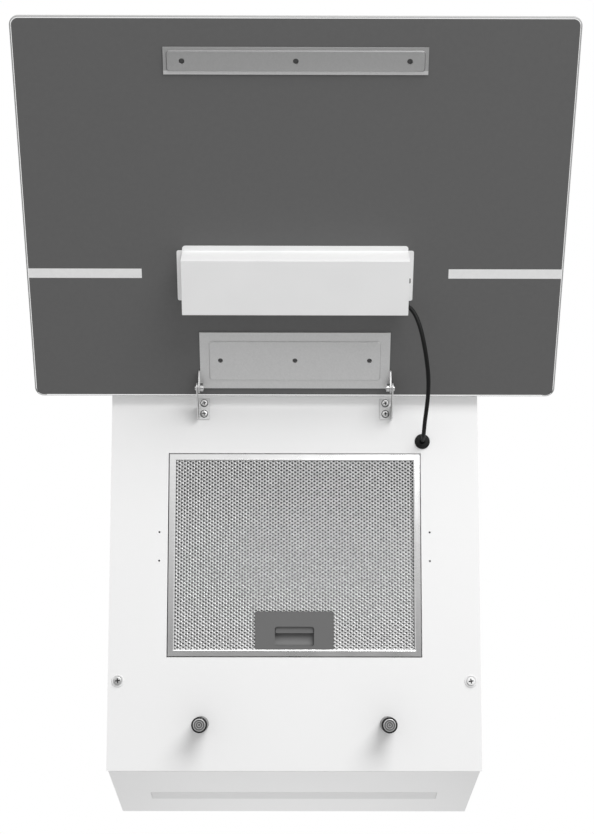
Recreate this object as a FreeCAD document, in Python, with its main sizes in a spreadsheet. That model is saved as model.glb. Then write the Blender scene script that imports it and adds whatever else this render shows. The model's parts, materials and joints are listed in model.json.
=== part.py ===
"""Slanted wall hood for a 60 cm kitchen space, shown with its glass door swung up.

Millimetres, +Z up, the wall behind at Y = 0, the front facing -Y.  The origin is the
middle of the four wall holes, on the back face of the rear panel.
"""
import FreeCAD, Part
import Sketcher
import math
import os
import re

SIZES = [
    # casing
    ("front_width", 425.0),
    ("shell_width", 421.0),
    ("depth", 194.0),
    ("panel_length", 450.0),
    ("slant", 18.0),
    ("front_sheet", 1.6),
    ("sheet", 1.0),
    ("flange", 18.0),
    ("mount_rise", 214.0),
    # wall holes and their rails
    ("wall_span", 300.0),
    ("wall_rise", 340.0),
    ("wall_hole_radius", 4.0),
    ("rail_length", 380.0),
    ("rail_width", 30.0),
    ("rail_sheet", 2.0),
    # filter opening and the seat behind it
    ("opening_width", 292.0),
    ("opening_low", 127.3),
    ("opening_high", 361.8),
    ("seat_wall", 1.2),
    ("seat_ledge", 9.0),
    # small holes of the front panel
    ("pilot_aside", 9.7),
    ("pilot_high", 270.2),
    ("pilot_low", 237.3),
    ("pilot_radius", 1.15),
    ("screw_across", 201.0),
    ("screw_up", 100.8),
    ("screw_hole_radius", 2.2),
    ("screw_shank_radius", 2.1),
    ("screw_length", 10.0),
    ("screw_head_radius", 4.6),
    ("screw_head_height", 2.4),
    ("washer_radius", 7.0),
    ("washer_height", 1.2),
    ("cross_length", 5.0),
    ("cross_width", 1.1),
    ("cross_depth", 1.2),
    # cable and its grommet
    ("cable_across", 148.0),
    ("cable_up", 375.8),
    ("cable_radius", 2.4),
    ("grommet_radius", 8.8),
    ("grommet_neck_radius", 6.0),
    ("grommet_bore_radius", 2.7),
    ("grommet_flange", 3.2),
    ("grommet_back", 2.4),
    # door studs on the panel
    ("stud_across", 106.0),
    ("stud_up", 52.5),
    ("stud_radius", 7.8),
    ("stud_ring_radius", 8.9),
    ("stud_ring_height", 6.0),
    ("stud_face_radius", 6.6),
    ("stud_face_height", 3.0),
    ("stud_gap", 0.4),
    ("stud_nut_radius", 5.0),
    ("stud_nut_height", 3.2),
    # hinge brackets on the panel
    ("bracket_inner", 99.0),
    ("bracket_outer", 113.0),
    ("bracket_low", 401.3),
    ("bracket_high", 426.3),
    ("bracket_sheet", 1.5),
    ("bracket_screw_across", 105.3),
    ("bracket_screw_low", 407.7),
    ("bracket_screw_high", 420.2),
    ("bracket_head_radius", 4.0),
    ("bracket_head_height", 2.2),
    ("ear_foot", 416.0),
    ("ear_throat_up", 420.0),
    ("ear_throat_out", 13.4),
    ("ear_step", 9.5),
    ("eye_radius", 6.0),
    ("pivot_up", 433.2),
    ("pivot_out", 31.8),
    ("pivot_radius", 2.0),
    ("pivot_play", 0.05),
    ("pivot_head_radius", 2.8),
    ("pivot_head_height", 1.6),
    ("pivot_nut_radius", 3.8),
    ("pivot_nut_height", 3.8),
    ("pivot_washer_radius", 4.6),
    # glass door, measured from its hinge-side edge
    ("door_open", 145.2),
    ("pivot_edge", 15.8),
    ("pivot_gap", 11.2),
    ("glass_width", 600.0),
    ("glass_length", 441.0),
    ("glass_thick", 5.0),
    ("glass_corner", 10.0),
    ("coat_inset", 2.3),
    ("coat_corner", 7.5),
    ("coat_thick", 0.2),
    ("stripe_low", 147.0),
    ("stripe_high", 158.2),
    ("stripe_inner", 171.4),
    # keeper plate for the stud magnets
    ("keeper_width", 280.4),
    ("keeper_low", 379.3),
    ("keeper_high", 408.7),
    ("keeper_sheet", 1.2),
    ("keeper_border", 3.4),
    ("keeper_rise", 1.6),
    ("pressed_edge", 1.0),
    ("pressed_corner", 3.8),
    ("keeper_hole_across", 120.4),
    ("keeper_hole_radius", 3.0),
    # hinge plate
    ("plate_width", 217.4),
    ("plate_low", 10.9),
    ("plate_high", 81.0),
    ("plate_sheet", 1.5),
    ("plate_border", 10.5),
    ("plate_rise", 1.2),
    ("plate_hole_across", 85.2),
    ("plate_hole_up", 46.6),
    ("plate_hole_radius", 2.8),
    ("plate_ear_aside", 1.9),
    ("plate_ear_high", 33.0),
    ("plate_ear_step", 3.0),
    ("relief_width", 3.0),
    ("relief_high", 17.0),
    # control box
    ("box_width", 251.2),
    ("box_low", 115.6),
    ("box_high", 180.3),
    ("box_height", 32.0),
    ("box_sheet", 1.0),
    ("base_flange", 5.5),
    ("base_tab", 6.3),
    ("base_corner", 3.7),
    ("tab_hole_radius", 1.7),
    ("tab_hole_up", 144.5),
    ("board_length", 210.0),
    ("board_width", 44.0),
    ("board_sheet", 1.6),
    ("sensor_length", 190.0),
    ("sensor_width", 22.0),
    ("sensor_height", 5.0),
    ("cable_exit_up", 119.9),
    ("cable_exit_out", 13.0),
    ("cable_exit_radius", 3.2),
    # grease filter cassette
    ("filter_gap", 1.2),
    ("filter_depth", 11.0),
    ("filter_face", 8.0),
    ("filter_rise", 1.5),
    ("filter_lip", 1.2),
    ("mesh_sheet", 0.8),
    ("mesh_drop", 0.6),
    ("strand", 2.6),
    ("handle_width", 90.0),
    ("handle_low", 136.6),
    ("handle_high", 179.2),
    ("handle_sheet", 1.2),
    ("recess_width", 44.8),
    ("recess_low", 139.8),
    ("recess_high", 162.0),
    ("cup_depth", 7.2),
    ("cup_wall", 0.8),
    ("cup_reach", 8.5),
    ("latch_low", 154.7),
    ("latch_height", 9.0),
    ("latch_width", 43.6),
    ("latch_drop", 1.4),
    ("latch_sheet", 2.6),
    ("latch_stem_width", 12.0),
    ("latch_stem_sheet", 1.6),
    ("latch_link_width", 8.0),
    ("latch_link_height", 4.0),
    ("latch_bolt", 2.7),
    ("latch_travel", 5.0),
    ("play", 0.3),
    # lamp in the underside, places measured from the wall
    ("lamp_length", 338.6),
    ("lamp_near", 64.0),
    ("lamp_width", 31.5),
    ("lamp_lip", 2.8),
    ("lamp_pane", 2.0),
    ("lamp_depth", 14.0),
    ("lamp_wall", 1.2),
    ("led_length", 320.0),
    ("led_width", 12.0),
    ("led_sheet", 1.6),
    ("led_chip", 4.0),
    ("led_chip_height", 1.0),
    ("led_count", 16),
    # fan, scroll and duct collar
    ("fan_back", 112.0),
    ("fan_up", 250.0),
    ("fan_radius", 75.0),
    ("fan_width", 110.0),
    ("fan_bore", 4.0),
    ("fan_hub_radius", 14.0),
    ("fan_hub_length", 30.0),
    ("fan_disc", 1.5),
    ("fan_blades", 32),
    ("blade_sheet", 1.0),
    ("blade_depth", 13.0),
    ("blade_angle", 35.0),
    ("scroll_radius", 100.0),
    ("scroll_wall", 1.5),
    ("scroll_width", 150.0),
    ("inlet_radius", 60.0),
    ("inlet_flange", 10.0),
    ("inlet_depth", 12.0),
    ("motor_radius", 42.0),
    ("motor_length", 62.0),
    ("motor_cap_radius", 22.0),
    ("motor_cap_length", 8.0),
    ("motor_flange_radius", 50.0),
    ("motor_flange", 2.0),
    ("motor_screw_radius", 2.0),
    ("motor_screw_length", 6.0),
    ("shaft_play", 0.05),
    ("duct_radius", 75.0),
    ("duct_wall", 2.0),
    ("duct_height", 42.0),
    ("collar_flange_radius", 88.0),
    ("collar_flange", 2.0),
    ("rod_radius", 2.0),
    ("rod_up", 14.0),
    ("flap_radius", 71.0),
    ("flap_sheet", 1.0),
    ("flap_drop", 4.2),
    ("flap_edge", 0.6),
    ("sleeve_radius", 3.6),
    ("sleeve_play", 0.05),
    ("sleeve_start", 3.0),
    ("sleeve_length", 54.0),
    ("stop_width", 4.0),
    ("stop_height", 2.0),
    # electrical parts
    ("case_left", 95.0),
    ("case_width", 90.0),
    ("case_back", 215.0),
    ("case_depth", 75.0),
    ("case_height", 55.0),
    ("case_wall", 2.0),
    ("case_lid", 2.0),
    ("terminal_length", 40.0),
    ("terminal_width", 16.0),
    ("terminal_height", 12.0),
    ("capacitor_radius", 13.0),
    ("capacitor_length", 52.0),
    ("driver_left", 60.0),
    ("driver_length", 110.0),
    ("driver_width", 36.0),
    ("driver_height", 24.0),
    ("driver_back", 12.0),
    ("gland_across", 140.0),
    ("gland_back", 150.0),
    ("gland_bore_radius", 4.0),
    ("gland_neck_radius", 8.0),
    ("gland_head_radius", 11.0),
    ("gland_head_height", 12.0),
    ("gland_nut_radius", 11.5),
    ("gland_nut_height", 5.0),
    ("overrun", 5.0),
]
SIZE = dict(SIZES)
MESH_COLUMNS = 20
MESH_ROWS = 14
MOTOR_SCREWS = 3

# A point of the pivot eyes where an ear's sides run into the round, as shares of the radius
EYE_SIDE_SHARES = (0.8, 0.6)

# Route of the control cable from inside the control box to the grommet, as places
# across the panel, up the panel and out from it.  Chosen by hand along its hang.
CABLE_ROUTE = [
    (119.0, 520.4, 91.8),
    (127.4, 516.8, 92.8),
    (134.4, 507.2, 94.4),
    (139.6, 493.0, 95.6),
    (143.6, 475.6, 94.4),
    (147.0, 456.8, 89.6),
    (149.6, 438.8, 80.6),
    (150.2, 422.0, 68.6),
    (149.2, 406.4, 54.6),
    (148.0, 392.8, 40.0),
    (147.9, 380.8, 24.4),
    (148.0, 375.8, 10.0),
    (148.0, 375.8, -4.0),
]
# Each bend takes this share of its shorter run
RUN_SHARE = 0.45

doc = FreeCAD.newDocument("RangeHood")
sheet = doc.addObject("Spreadsheet::Sheet", "Sizes")
for row, (alias, value) in enumerate(SIZES, start=1):
    sheet.set("A%d" % row, alias)
    sheet.set("B%d" % row, str(value))
    sheet.setAlias("B%d" % row, alias)
doc.recompute()

X_AXIS = FreeCAD.Vector(1, 0, 0)
Y_AXIS = FreeCAD.Vector(0, 1, 0)
PIECES = {}


# Sizes that follow from the driving ones
HEIGHT = "(panel_length * cos(slant))"
SLOPE = "tan(slant)"
INNER_FRONT = "(-depth + front_sheet / cos(slant))"
PILOT_ACROSS = "(opening_width / 2 + pilot_aside)"
SEAT_DEPTH = "(filter_depth + play + seat_wall - front_sheet)"
SEAT_BACK = "(-filter_depth - play - seat_wall)"
GLASS_GAP = "(pivot_out + pivot_gap)"
EAR_OUTER = "(plate_width / 2 + plate_ear_aside)"
STUD_HEIGHT = "(%s - keeper_sheet - keeper_rise - stud_gap)" % GLASS_GAP
DOOR_TILT = "(270 + slant - door_open)"
PIVOT_Y = "(-depth - pivot_up * sin(slant) - pivot_out * cos(slant))"
PIVOT_Z = "(pivot_up * cos(slant) - pivot_out * sin(slant) - mount_rise)"
DOOR_Y = "(%s - pivot_edge * cos(%s) + pivot_gap * sin(%s))" % (PIVOT_Y, DOOR_TILT, DOOR_TILT)
DOOR_Z = "(%s - pivot_edge * sin(%s) - pivot_gap * cos(%s))" % (PIVOT_Z, DOOR_TILT, DOOR_TILT)
ROD_UP = "(%s + collar_flange + rod_up)" % HEIGHT
CUP_WIDE = "(recess_width + 4 * cup_wall)"
CUP_TOP = "(recess_high + cup_reach + 2 * cup_wall)"
MOTOR_SCREW_RING = "((motor_radius + motor_flange_radius) / 2)"

# A frame is where a piece's own axes lie: its tilt about X and its origin
CASING = ("0", "0", "0", "-mount_rise")
PANEL = ("90 + slant", "0", "-depth", "-mount_rise")
DOOR = (DOOR_TILT, "0", DOOR_Y, DOOR_Z)


def bound(text):
    """Point every size name in an expression at its cell."""
    return re.sub(r"[a-z]\w*", lambda word: name_cell(word.group()), text)


def name_cell(word):
    return "Sizes." + word if word in SIZE else word


def set_size(item, prop, text):
    item.setExpression(prop, bound(text))


def size_of(alias):
    """A size as a number, read from the sheet."""
    return float(sheet.get(alias))


def place(item, frame):
    """Turn the piece about X and move its origin to the frame's."""
    tilt, across, back, up = frame
    if tilt != "0":
        item.Placement = FreeCAD.Placement(FreeCAD.Vector(), FreeCAD.Rotation(X_AXIS, SIZE["slant"]))
        set_size(item, "Placement.Rotation.Angle", tilt)
    set_size(item, "Placement.Base.x", across)
    set_size(item, "Placement.Base.y", back)
    set_size(item, "Placement.Base.z", up)


def piece(item, node, frame):
    """Name a finished sub-part and put it in its frame."""
    place(item, frame)
    item.Label = node
    PIECES[node] = item
    return item


# Sketches and features
def new_body(name):
    return doc.addObject("PartDesign::Body", name)


def sketch(body, role, lift="0"):
    plane = next(item for item in body.Origin.OriginFeatures if item.Role == role)
    drawing = body.newObject("Sketcher::SketchObject", body.Name + "Sketch")
    drawing.AttachmentSupport = [(plane, "")]
    drawing.MapMode = "FlatFace"
    set_size(drawing, "AttachmentOffset.Base.z", lift)
    return drawing


def fix_point(drawing, item, end, across, up):
    for kind, text in (("DistanceX", across), ("DistanceY", up)):
        index = drawing.addConstraint(Sketcher.Constraint(kind, -1, 1, item, end, 1.0))
        set_size(drawing, "Constraints[%d]" % index, text)


def polygon(drawing, points):
    """A closed outline, each corner held to its own two expressions."""
    count = len(points)
    first = drawing.GeometryCount
    turn = 2 * math.pi / count
    start = [FreeCAD.Vector(math.cos(turn * i), math.sin(turn * i), 0) for i in range(count)]
    for i in range(count):
        drawing.addGeometry(Part.LineSegment(start[i], start[(i + 1) % count]))
    for i in range(count):
        join = Sketcher.Constraint("Coincident", first + i, 2, first + (i + 1) % count, 1)
        drawing.addConstraint(join)
    for i, (across, up) in enumerate(points):
        fix_point(drawing, first + i, 1, across, up)


def rectangle(drawing, left, low, right, high):
    polygon(drawing, [(left, low), (right, low), (right, high), (left, high)])


def centred(drawing, width, low, high):
    rectangle(drawing, "-(%s) / 2" % width, low, "(%s) / 2" % width, high)


def circle(drawing, across, up, radius):
    index = drawing.addGeometry(Part.Circle(FreeCAD.Vector(), FreeCAD.Vector(0, 0, 1), 1.0))
    fix_point(drawing, index, 3, across, up)
    ring = drawing.addConstraint(Sketcher.Constraint("Radius", index, 1.0))
    set_size(drawing, "Constraints[%d]" % ring, radius)


def pad(body, drawing, length, both_ways=False):
    feature = body.newObject("PartDesign::Pad", body.Name + "Pad")
    feature.Profile = drawing
    feature.Midplane = both_ways
    set_size(feature, "Length", length)
    return feature


def pocket(body, drawing, length):
    """Cut down from the sketch, and check that something was cut."""
    doc.recompute()
    before = body.Shape.Volume
    feature = body.newObject("PartDesign::Pocket", body.Name + "Pocket")
    feature.Profile = drawing
    set_size(feature, "Length", length)
    doc.recompute()
    if body.Shape.Volume >= before:
        raise RuntimeError("nothing was cut from " + body.Name)
    return feature


def revolve(body, drawing):
    feature = body.newObject("PartDesign::Revolution", body.Name + "Revolution")
    feature.Profile = drawing
    feature.ReferenceAxis = (drawing, ["V_Axis"])
    feature.Angle = 360
    return feature


def edges_along(shape, direction):
    """Names of the straight edges that run along a direction."""
    names = []
    for number, edge in enumerate(shape.Edges, start=1):
        straight = isinstance(edge.Curve, Part.Line)
        if straight and abs(edge.tangentAt(edge.FirstParameter).dot(direction)) > 1 - 1e-6:
            names.append("Edge%d" % number)
    return names


def fillet_corners(body, feature, direction, radius):
    doc.recompute()
    rounding = body.newObject("PartDesign::Fillet", body.Name + "Fillet")
    rounding.Base = (feature, edges_along(feature.Shape, direction))
    set_size(rounding, "Radius", radius)
    return rounding


# Primitives
def block(name, left, right, back, front, low, high):
    """A box between pairs of places along X, Y and Z."""
    item = doc.addObject("Part::Box", name)
    set_size(item, "Length", "(%s) - (%s)" % (right, left))
    set_size(item, "Width", "(%s) - (%s)" % (front, back))
    set_size(item, "Height", "(%s) - (%s)" % (high, low))
    set_size(item, "Placement.Base.x", left)
    set_size(item, "Placement.Base.y", back)
    set_size(item, "Placement.Base.z", low)
    return item


def rod(name, radius, length, across, back, up, lying=False):
    """A cylinder that stands along Z, or lies along X."""
    item = doc.addObject("Part::Cylinder", name)
    set_size(item, "Radius", radius)
    set_size(item, "Height", length)
    if lying:
        item.Placement = FreeCAD.Placement(FreeCAD.Vector(), FreeCAD.Rotation(Y_AXIS, 90))
    set_size(item, "Placement.Base.x", across)
    set_size(item, "Placement.Base.y", back)
    set_size(item, "Placement.Base.z", up)
    return item


def fuse(name, items):
    item = doc.addObject("Part::MultiFuse", name)
    item.Shapes = items
    return item


def cut(name, base, tools):
    item = doc.addObject("Part::Cut", name)
    item.Base = base
    item.Tool = tools[0] if len(tools) == 1 else fuse(name + "Tools", tools)
    return item


def group(name, items):
    item = doc.addObject("Part::Compound", name)
    item.Links = items
    return item


# Casing
def front_panel():
    body = new_body("FrontPanel")
    face = sketch(body, "XY_Plane", "-front_sheet")
    centred(face, "front_width", "0", "panel_length")
    pad(body, face, "front_sheet")
    cuts = sketch(body, "XY_Plane")
    centred(cuts, "opening_width", "opening_low", "opening_high")
    circle(cuts, "cable_across", "cable_up", "grommet_neck_radius")
    for side in ("", "-"):
        circle(cuts, side + PILOT_ACROSS, "pilot_high", "pilot_radius")
        circle(cuts, side + PILOT_ACROSS, "pilot_low", "pilot_radius")
        circle(cuts, side + "screw_across", "screw_up", "screw_hole_radius")
        circle(cuts, side + "stud_across", "stud_up", "screw_hole_radius")
        circle(cuts, side + "bracket_screw_across", "bracket_screw_low", "screw_hole_radius")
        circle(cuts, side + "bracket_screw_across", "bracket_screw_high", "screw_hole_radius")
    pocket(body, cuts, "front_sheet")
    piece(body, "front_panel", PANEL)


def side_panel(node, side):
    """A tray whose rim gives the other panels something to be screwed to."""
    body = new_body(node)
    front = INNER_FRONT + " - %s * " + SLOPE
    top = "(%s - sheet)" % HEIGHT
    outer = [("-sheet", "sheet"), (front % "sheet", "sheet"), (front % top, top), ("-sheet", top)]
    low, high = "(2 * sheet)", "(%s - 2 * sheet)" % HEIGHT
    inset = front + " + sheet / cos(slant)"
    inner = [("-2 * sheet", low), (inset % low, low), (inset % high, high), ("-2 * sheet", high)]
    lift = {"right": "shell_width / 2 - flange", "left": "-shell_width / 2"}[side]
    across = {"right": "screw_across", "left": "-screw_across"}[side]
    behind = "(front_sheet + overrun)"
    back = "-depth - screw_up * sin(slant) + %s * cos(slant)" % behind
    up = "screw_up * cos(slant) + %s * sin(slant)" % behind
    wall = sketch(body, "YZ_Plane", lift)
    polygon(wall, outer)
    pad(body, wall, "flange")
    if side == "right":
        hollow = sketch(body, "YZ_Plane", "shell_width / 2 - sheet")
    else:
        hollow = sketch(body, "YZ_Plane", "-shell_width / 2 + flange")
    polygon(hollow, inner)
    pocket(body, hollow, "flange - sheet")
    bore = rod(node + "_bore", "screw_hole_radius", "front_sheet + overrun", across, back, up)
    bore.Placement = FreeCAD.Placement(FreeCAD.Vector(), FreeCAD.Rotation(X_AXIS, SIZE["slant"]))
    set_size(bore, "Placement.Rotation.Angle", PANEL[0])
    piece(cut(node + "_drilled", body, [bore]), node, CASING)


def side_panels():
    side_panel("side_panel_left", "left")
    side_panel("side_panel_right", "right")


def bottom_panel():
    body = new_body("BottomPanel")
    face = sketch(body, "XY_Plane")
    centred(face, "shell_width", INNER_FRONT, "0")
    pad(body, face, "sheet")
    window = sketch(body, "XY_Plane", "sheet")
    centred(window, "lamp_length", "-lamp_near - lamp_width", "-lamp_near")
    pocket(body, window, "sheet")
    piece(body, "bottom_panel", CASING)


def top_panel():
    body = new_body("TopPanel")
    face = sketch(body, "XY_Plane", HEIGHT + " - sheet")
    centred(face, "shell_width", "%s - (%s - sheet) * %s" % (INNER_FRONT, HEIGHT, SLOPE), "0")
    pad(body, face, "sheet")
    holes = sketch(body, "XY_Plane", HEIGHT)
    circle(holes, "0", "-fan_back", "duct_radius - duct_wall")
    circle(holes, "gland_across", "-gland_back", "gland_neck_radius")
    pocket(body, holes, "sheet")
    piece(body, "top_panel", CASING)


def wall_circles(drawing):
    for across in ("wall_span / 2", "-wall_span / 2"):
        for up in ("mount_rise + wall_rise / 2", "mount_rise - wall_rise / 2"):
            circle(drawing, across, up, "wall_hole_radius")


def rear_panel():
    body = new_body("RearPanel")
    face = sketch(body, "XZ_Plane")
    centred(face, "shell_width", "sheet", HEIGHT + " - sheet")
    pad(body, face, "sheet")
    holes = sketch(body, "XZ_Plane", "sheet")
    wall_circles(holes)
    pocket(body, holes, "sheet")
    piece(body, "rear_panel", CASING)


def wall_rails():
    """Two flat rails that stiffen the rear panel round its wall holes."""
    rails = []
    for name, sign in (("UpperRail", "+"), ("LowerRail", "-")):
        middle = "mount_rise %s wall_rise / 2" % sign
        bar = block(
            name, "-rail_length / 2", "rail_length / 2", "-sheet - rail_sheet", "-sheet",
            middle + " - rail_width / 2", middle + " + rail_width / 2")
        bores = []
        for side in ("", "-"):
            bore = rod(name + "Bore", "wall_hole_radius", "rail_sheet + 2 * overrun",
                       side + "wall_span / 2", "overrun", middle)
            bore.Placement.Rotation = FreeCAD.Rotation(X_AXIS, 90)
            bores.append(bore)
        rails.append(cut(name + "Drilled", bar, bores))
    piece(group("WallRails", rails), "wall_rails", CASING)


def filter_seat():
    """A deep frame behind the opening, open below for the latch; the cassette rests on its ledges."""
    outer = "(opening_width / 2 + seat_wall)"
    gap = "(latch_stem_width / 2 + play)"
    low, high = "(opening_low - seat_wall)", "(opening_high + seat_wall)"
    body = new_body("FilterSeat")
    ring = sketch(body, "XY_Plane", SEAT_BACK)
    centred(ring, "2 * " + outer, "opening_low", high)
    pad(body, ring, SEAT_DEPTH)
    room = sketch(body, "XY_Plane", "-front_sheet")
    centred(room, "opening_width", "opening_low - overrun", "opening_high")
    pocket(body, room, SEAT_DEPTH + " - seat_wall")
    window = sketch(body, "XY_Plane", SEAT_BACK + " + seat_wall")
    centred(window, "opening_width - 2 * seat_ledge", "opening_low - overrun", "opening_high - seat_ledge")
    pocket(body, window, "seat_wall")
    strips = []
    for name, left, right in (("Right", gap, outer), ("Left", "-" + outer, "-" + gap)):
        wall = block(name + "SeatWall", left, right, low, "opening_low", SEAT_BACK, "-front_sheet")
        near, far = left, right
        if name == "Right":
            far = "(opening_width / 2 - seat_ledge)"
        else:
            near = "-(opening_width / 2 - seat_ledge)"
        ledge = block(name + "SeatLedge", near, far, "opening_low", "opening_low + seat_ledge",
                      SEAT_BACK, SEAT_BACK + " + seat_wall")
        strips.append(fuse(name + "SeatStrip", [wall, ledge]))
    piece(group("FilterSeatParts", [body] + strips), "filter_seat", PANEL)


def lamp():
    """Strip lamp let into the underside: housing, board and flush pane."""
    near, far = "-lamp_near", "-lamp_near - lamp_width"
    pane = new_body("LampPane")
    window = sketch(pane, "XY_Plane")
    centred(window, "lamp_length - 2 * play", far + " + play", near + " - play")
    pad(pane, window, "sheet + lamp_pane")
    brim = sketch(pane, "XY_Plane", "sheet")
    centred(brim, "lamp_length + 2 * lamp_lip", far + " - lamp_lip", near + " + lamp_lip")
    pad(pane, brim, "lamp_pane")
    piece(pane, "lamp_diffuser", CASING)
    reach = "(lamp_lip + play + lamp_wall)"
    housing = new_body("LampHousing")
    shell = sketch(housing, "XY_Plane", "sheet")
    centred(shell, "lamp_length + 2 * " + reach, far + " - " + reach, near + " + " + reach)
    pad(housing, shell, "lamp_depth")
    room = sketch(housing, "XY_Plane", "sheet + lamp_depth - lamp_wall")
    gap = "(lamp_lip + play)"
    centred(room, "lamp_length + 2 * " + gap, far + " - " + gap, near + " + " + gap)
    pocket(housing, room, "lamp_depth - lamp_wall")
    piece(housing, "lamp_housing", CASING)
    board = new_body("LedBoard")
    top = "(sheet + lamp_depth - lamp_wall)"
    strip = sketch(board, "XY_Plane", top + " - led_sheet")
    middle = "(-lamp_near - lamp_width / 2)"
    centred(strip, "led_length", middle + " - led_width / 2", middle + " + led_width / 2")
    pad(board, strip, "led_sheet")
    chip = sketch(board, "XY_Plane", top + " - led_sheet - led_chip_height")
    first = "(-led_length / 2 + led_length / led_count / 2)"
    rectangle(chip, first + " - led_chip / 2", middle + " - led_chip / 2",
              first + " + led_chip / 2", middle + " + led_chip / 2")
    light = pad(board, chip, "led_chip_height")
    row = board.newObject("PartDesign::LinearPattern", "LedRow")
    row.Originals = [light]
    row.Direction = (strip, ["H_Axis"])
    set_size(row, "Length", "led_length - led_length / led_count")
    set_size(row, "Occurrences", "led_count")
    board.Tip = row
    piece(board, "led_board", CASING)


# Pieces on the front panel
def turned(name, outline):
    """A round piece about Z from its half outline of radius and height."""
    body = new_body(name)
    half = sketch(body, "XZ_Plane")
    polygon(half, outline)
    revolve(body, half)
    return body


def cross_screw(name, across, up, seat, head_radius, head_height, length):
    """A pan-head screw standing on its seat, with a cross slot in the head."""
    shank = rod(name + "Shank", "screw_shank_radius", length, across, up, seat + " - (%s)" % length)
    head = rod(name + "Head", head_radius, head_height, across, up, seat)
    solid = fuse(name + "Solid", [shank, head])
    top = seat + " + " + head_height
    slots = []
    for wide, tall in (("cross_length", "cross_width"), ("cross_width", "cross_length")):
        slots.append(block(
            name + "Slot",
            across + " - %s / 2" % wide, across + " + %s / 2" % wide,
            up + " - %s / 2" % tall, up + " + %s / 2" % tall,
            top + " - cross_depth", top + " + overrun"))
    return cut(name, solid, slots)


def panel_fasteners():
    screws, washers = [], []
    for name, side in (("Left", "-"), ("Right", "")):
        across = side + "screw_across"
        screws.append(cross_screw(name + "PanelScrew", across, "screw_up", "washer_height",
                                  "screw_head_radius", "screw_head_height", "screw_length"))
        disc = rod(name + "Disc", "washer_radius", "washer_height", across, "screw_up", "0")
        hole = rod(name + "DiscHole", "screw_hole_radius", "washer_height", across, "screw_up", "0")
        washers.append(cut(name + "Washer", disc, [hole]))
    piece(group("PanelScrews", screws), "panel_screws", PANEL)
    piece(group("PanelWashers", washers), "panel_washers", PANEL)


def cable_grommet():
    back = "-front_sheet - grommet_back"
    body = turned("CableGrommet", [
        ("grommet_bore_radius", back), ("grommet_radius - sheet", back),
        ("grommet_radius - sheet", "-front_sheet"), ("grommet_neck_radius", "-front_sheet"),
        ("grommet_neck_radius", "0"), ("grommet_radius", "0"),
        ("grommet_radius", "grommet_flange / 3"), ("grommet_neck_radius", "grommet_flange"),
        ("grommet_bore_radius", "grommet_flange")])
    moved = group("GrommetSeat", [body])
    set_size(body, "Placement.Base.x", "cable_across")
    set_size(body, "Placement.Base.y", "cable_up")
    piece(moved, "cable_grommet", PANEL)


def studs():
    """Two magnetic studs that hold the closed door: barrel, ring, face and nut."""
    height = STUD_HEIGHT
    barrels, rings, faces, nuts = [], [], [], []
    for name, side in (("Left", "-"), ("Right", "")):
        across = side + "stud_across"
        ring_low = "(%s - stud_ring_height)" % height
        barrel = rod(name + "Barrel", "stud_radius", ring_low, across, "stud_up", "0")
        neck = rod(name + "Neck", "stud_face_radius", "stud_ring_height - stud_face_height",
                   across, "stud_up", ring_low)
        bolt = rod(name + "Bolt", "screw_shank_radius", "front_sheet + stud_nut_height + sheet",
                   across, "stud_up", "-front_sheet - stud_nut_height - sheet")
        barrels.append(fuse(name + "Stud", [barrel, neck, bolt]))
        outer = rod(name + "RingOuter", "stud_ring_radius", "stud_ring_height", across, "stud_up", ring_low)
        inner = rod(name + "RingInner", "stud_face_radius", "stud_ring_height", across, "stud_up", ring_low)
        rings.append(cut(name + "Ring", outer, [inner]))
        faces.append(rod(name + "Face", "stud_face_radius", "stud_face_height",
                         across, "stud_up", "%s - stud_face_height" % height))
        nut = rod(name + "Nut", "stud_nut_radius", "stud_nut_height",
                  across, "stud_up", "-front_sheet - stud_nut_height")
        bore = rod(name + "NutBore", "screw_shank_radius", "stud_nut_height",
                   across, "stud_up", "-front_sheet - stud_nut_height")
        nuts.append(cut(name + "StudNut", nut, [bore]))
    piece(group("StudBarrels", barrels), "stud_barrels", PANEL)
    piece(group("StudRings", rings), "stud_rings", PANEL)
    piece(group("StudMagnets", faces), "stud_magnets", PANEL)
    piece(group("StudNuts", nuts), "stud_nuts", PANEL)


def hinge_bracket(node, side):
    """An angle of sheet: a foot on the panel and an ear that carries the pivot."""
    body = new_body(node)
    sign = {"right": "", "left": "-"}[side]
    outer = {"right": "bracket_outer - bracket_sheet", "left": "-bracket_outer"}[side]
    ear = sketch(body, "YZ_Plane", outer)
    long_share, short_share = EYE_SIDE_SHARES
    polygon(ear, [
        ("bracket_low", "0"), ("ear_foot", "0"), ("ear_throat_up", "ear_throat_out"),
        ("pivot_up + %s * eye_radius" % long_share, "pivot_out - %s * eye_radius" % short_share),
        ("pivot_up - %s * eye_radius" % long_share, "pivot_out + %s * eye_radius" % short_share),
        ("bracket_low", "ear_step")])
    pad(body, ear, "bracket_sheet")
    eye = sketch(body, "YZ_Plane", outer)
    circle(eye, "pivot_up", "pivot_out", "eye_radius")
    pad(body, eye, "bracket_sheet")
    foot = sketch(body, "XY_Plane")
    inner_side = sign + "bracket_inner"
    outer_side = sign + "bracket_outer"
    inside = sign + "(bracket_outer - bracket_sheet)"
    polygon(foot, [
        (inner_side, "bracket_low"), (outer_side, "bracket_low"), (outer_side, "ear_foot"),
        (inside, "ear_foot"), (inside, "bracket_high"), (inner_side, "bracket_high")])
    pad(body, foot, "bracket_sheet")
    holes = sketch(body, "XY_Plane", "bracket_sheet")
    circle(holes, sign + "bracket_screw_across", "bracket_screw_low", "screw_hole_radius")
    circle(holes, sign + "bracket_screw_across", "bracket_screw_high", "screw_hole_radius")
    pocket(body, holes, "bracket_sheet")
    face = {"right": "bracket_outer", "left": "-bracket_outer + bracket_sheet"}[side]
    hole = sketch(body, "YZ_Plane", face)
    circle(hole, "pivot_up", "pivot_out", "pivot_radius")
    pocket(body, hole, "bracket_sheet")
    piece(body, node, PANEL)


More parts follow.
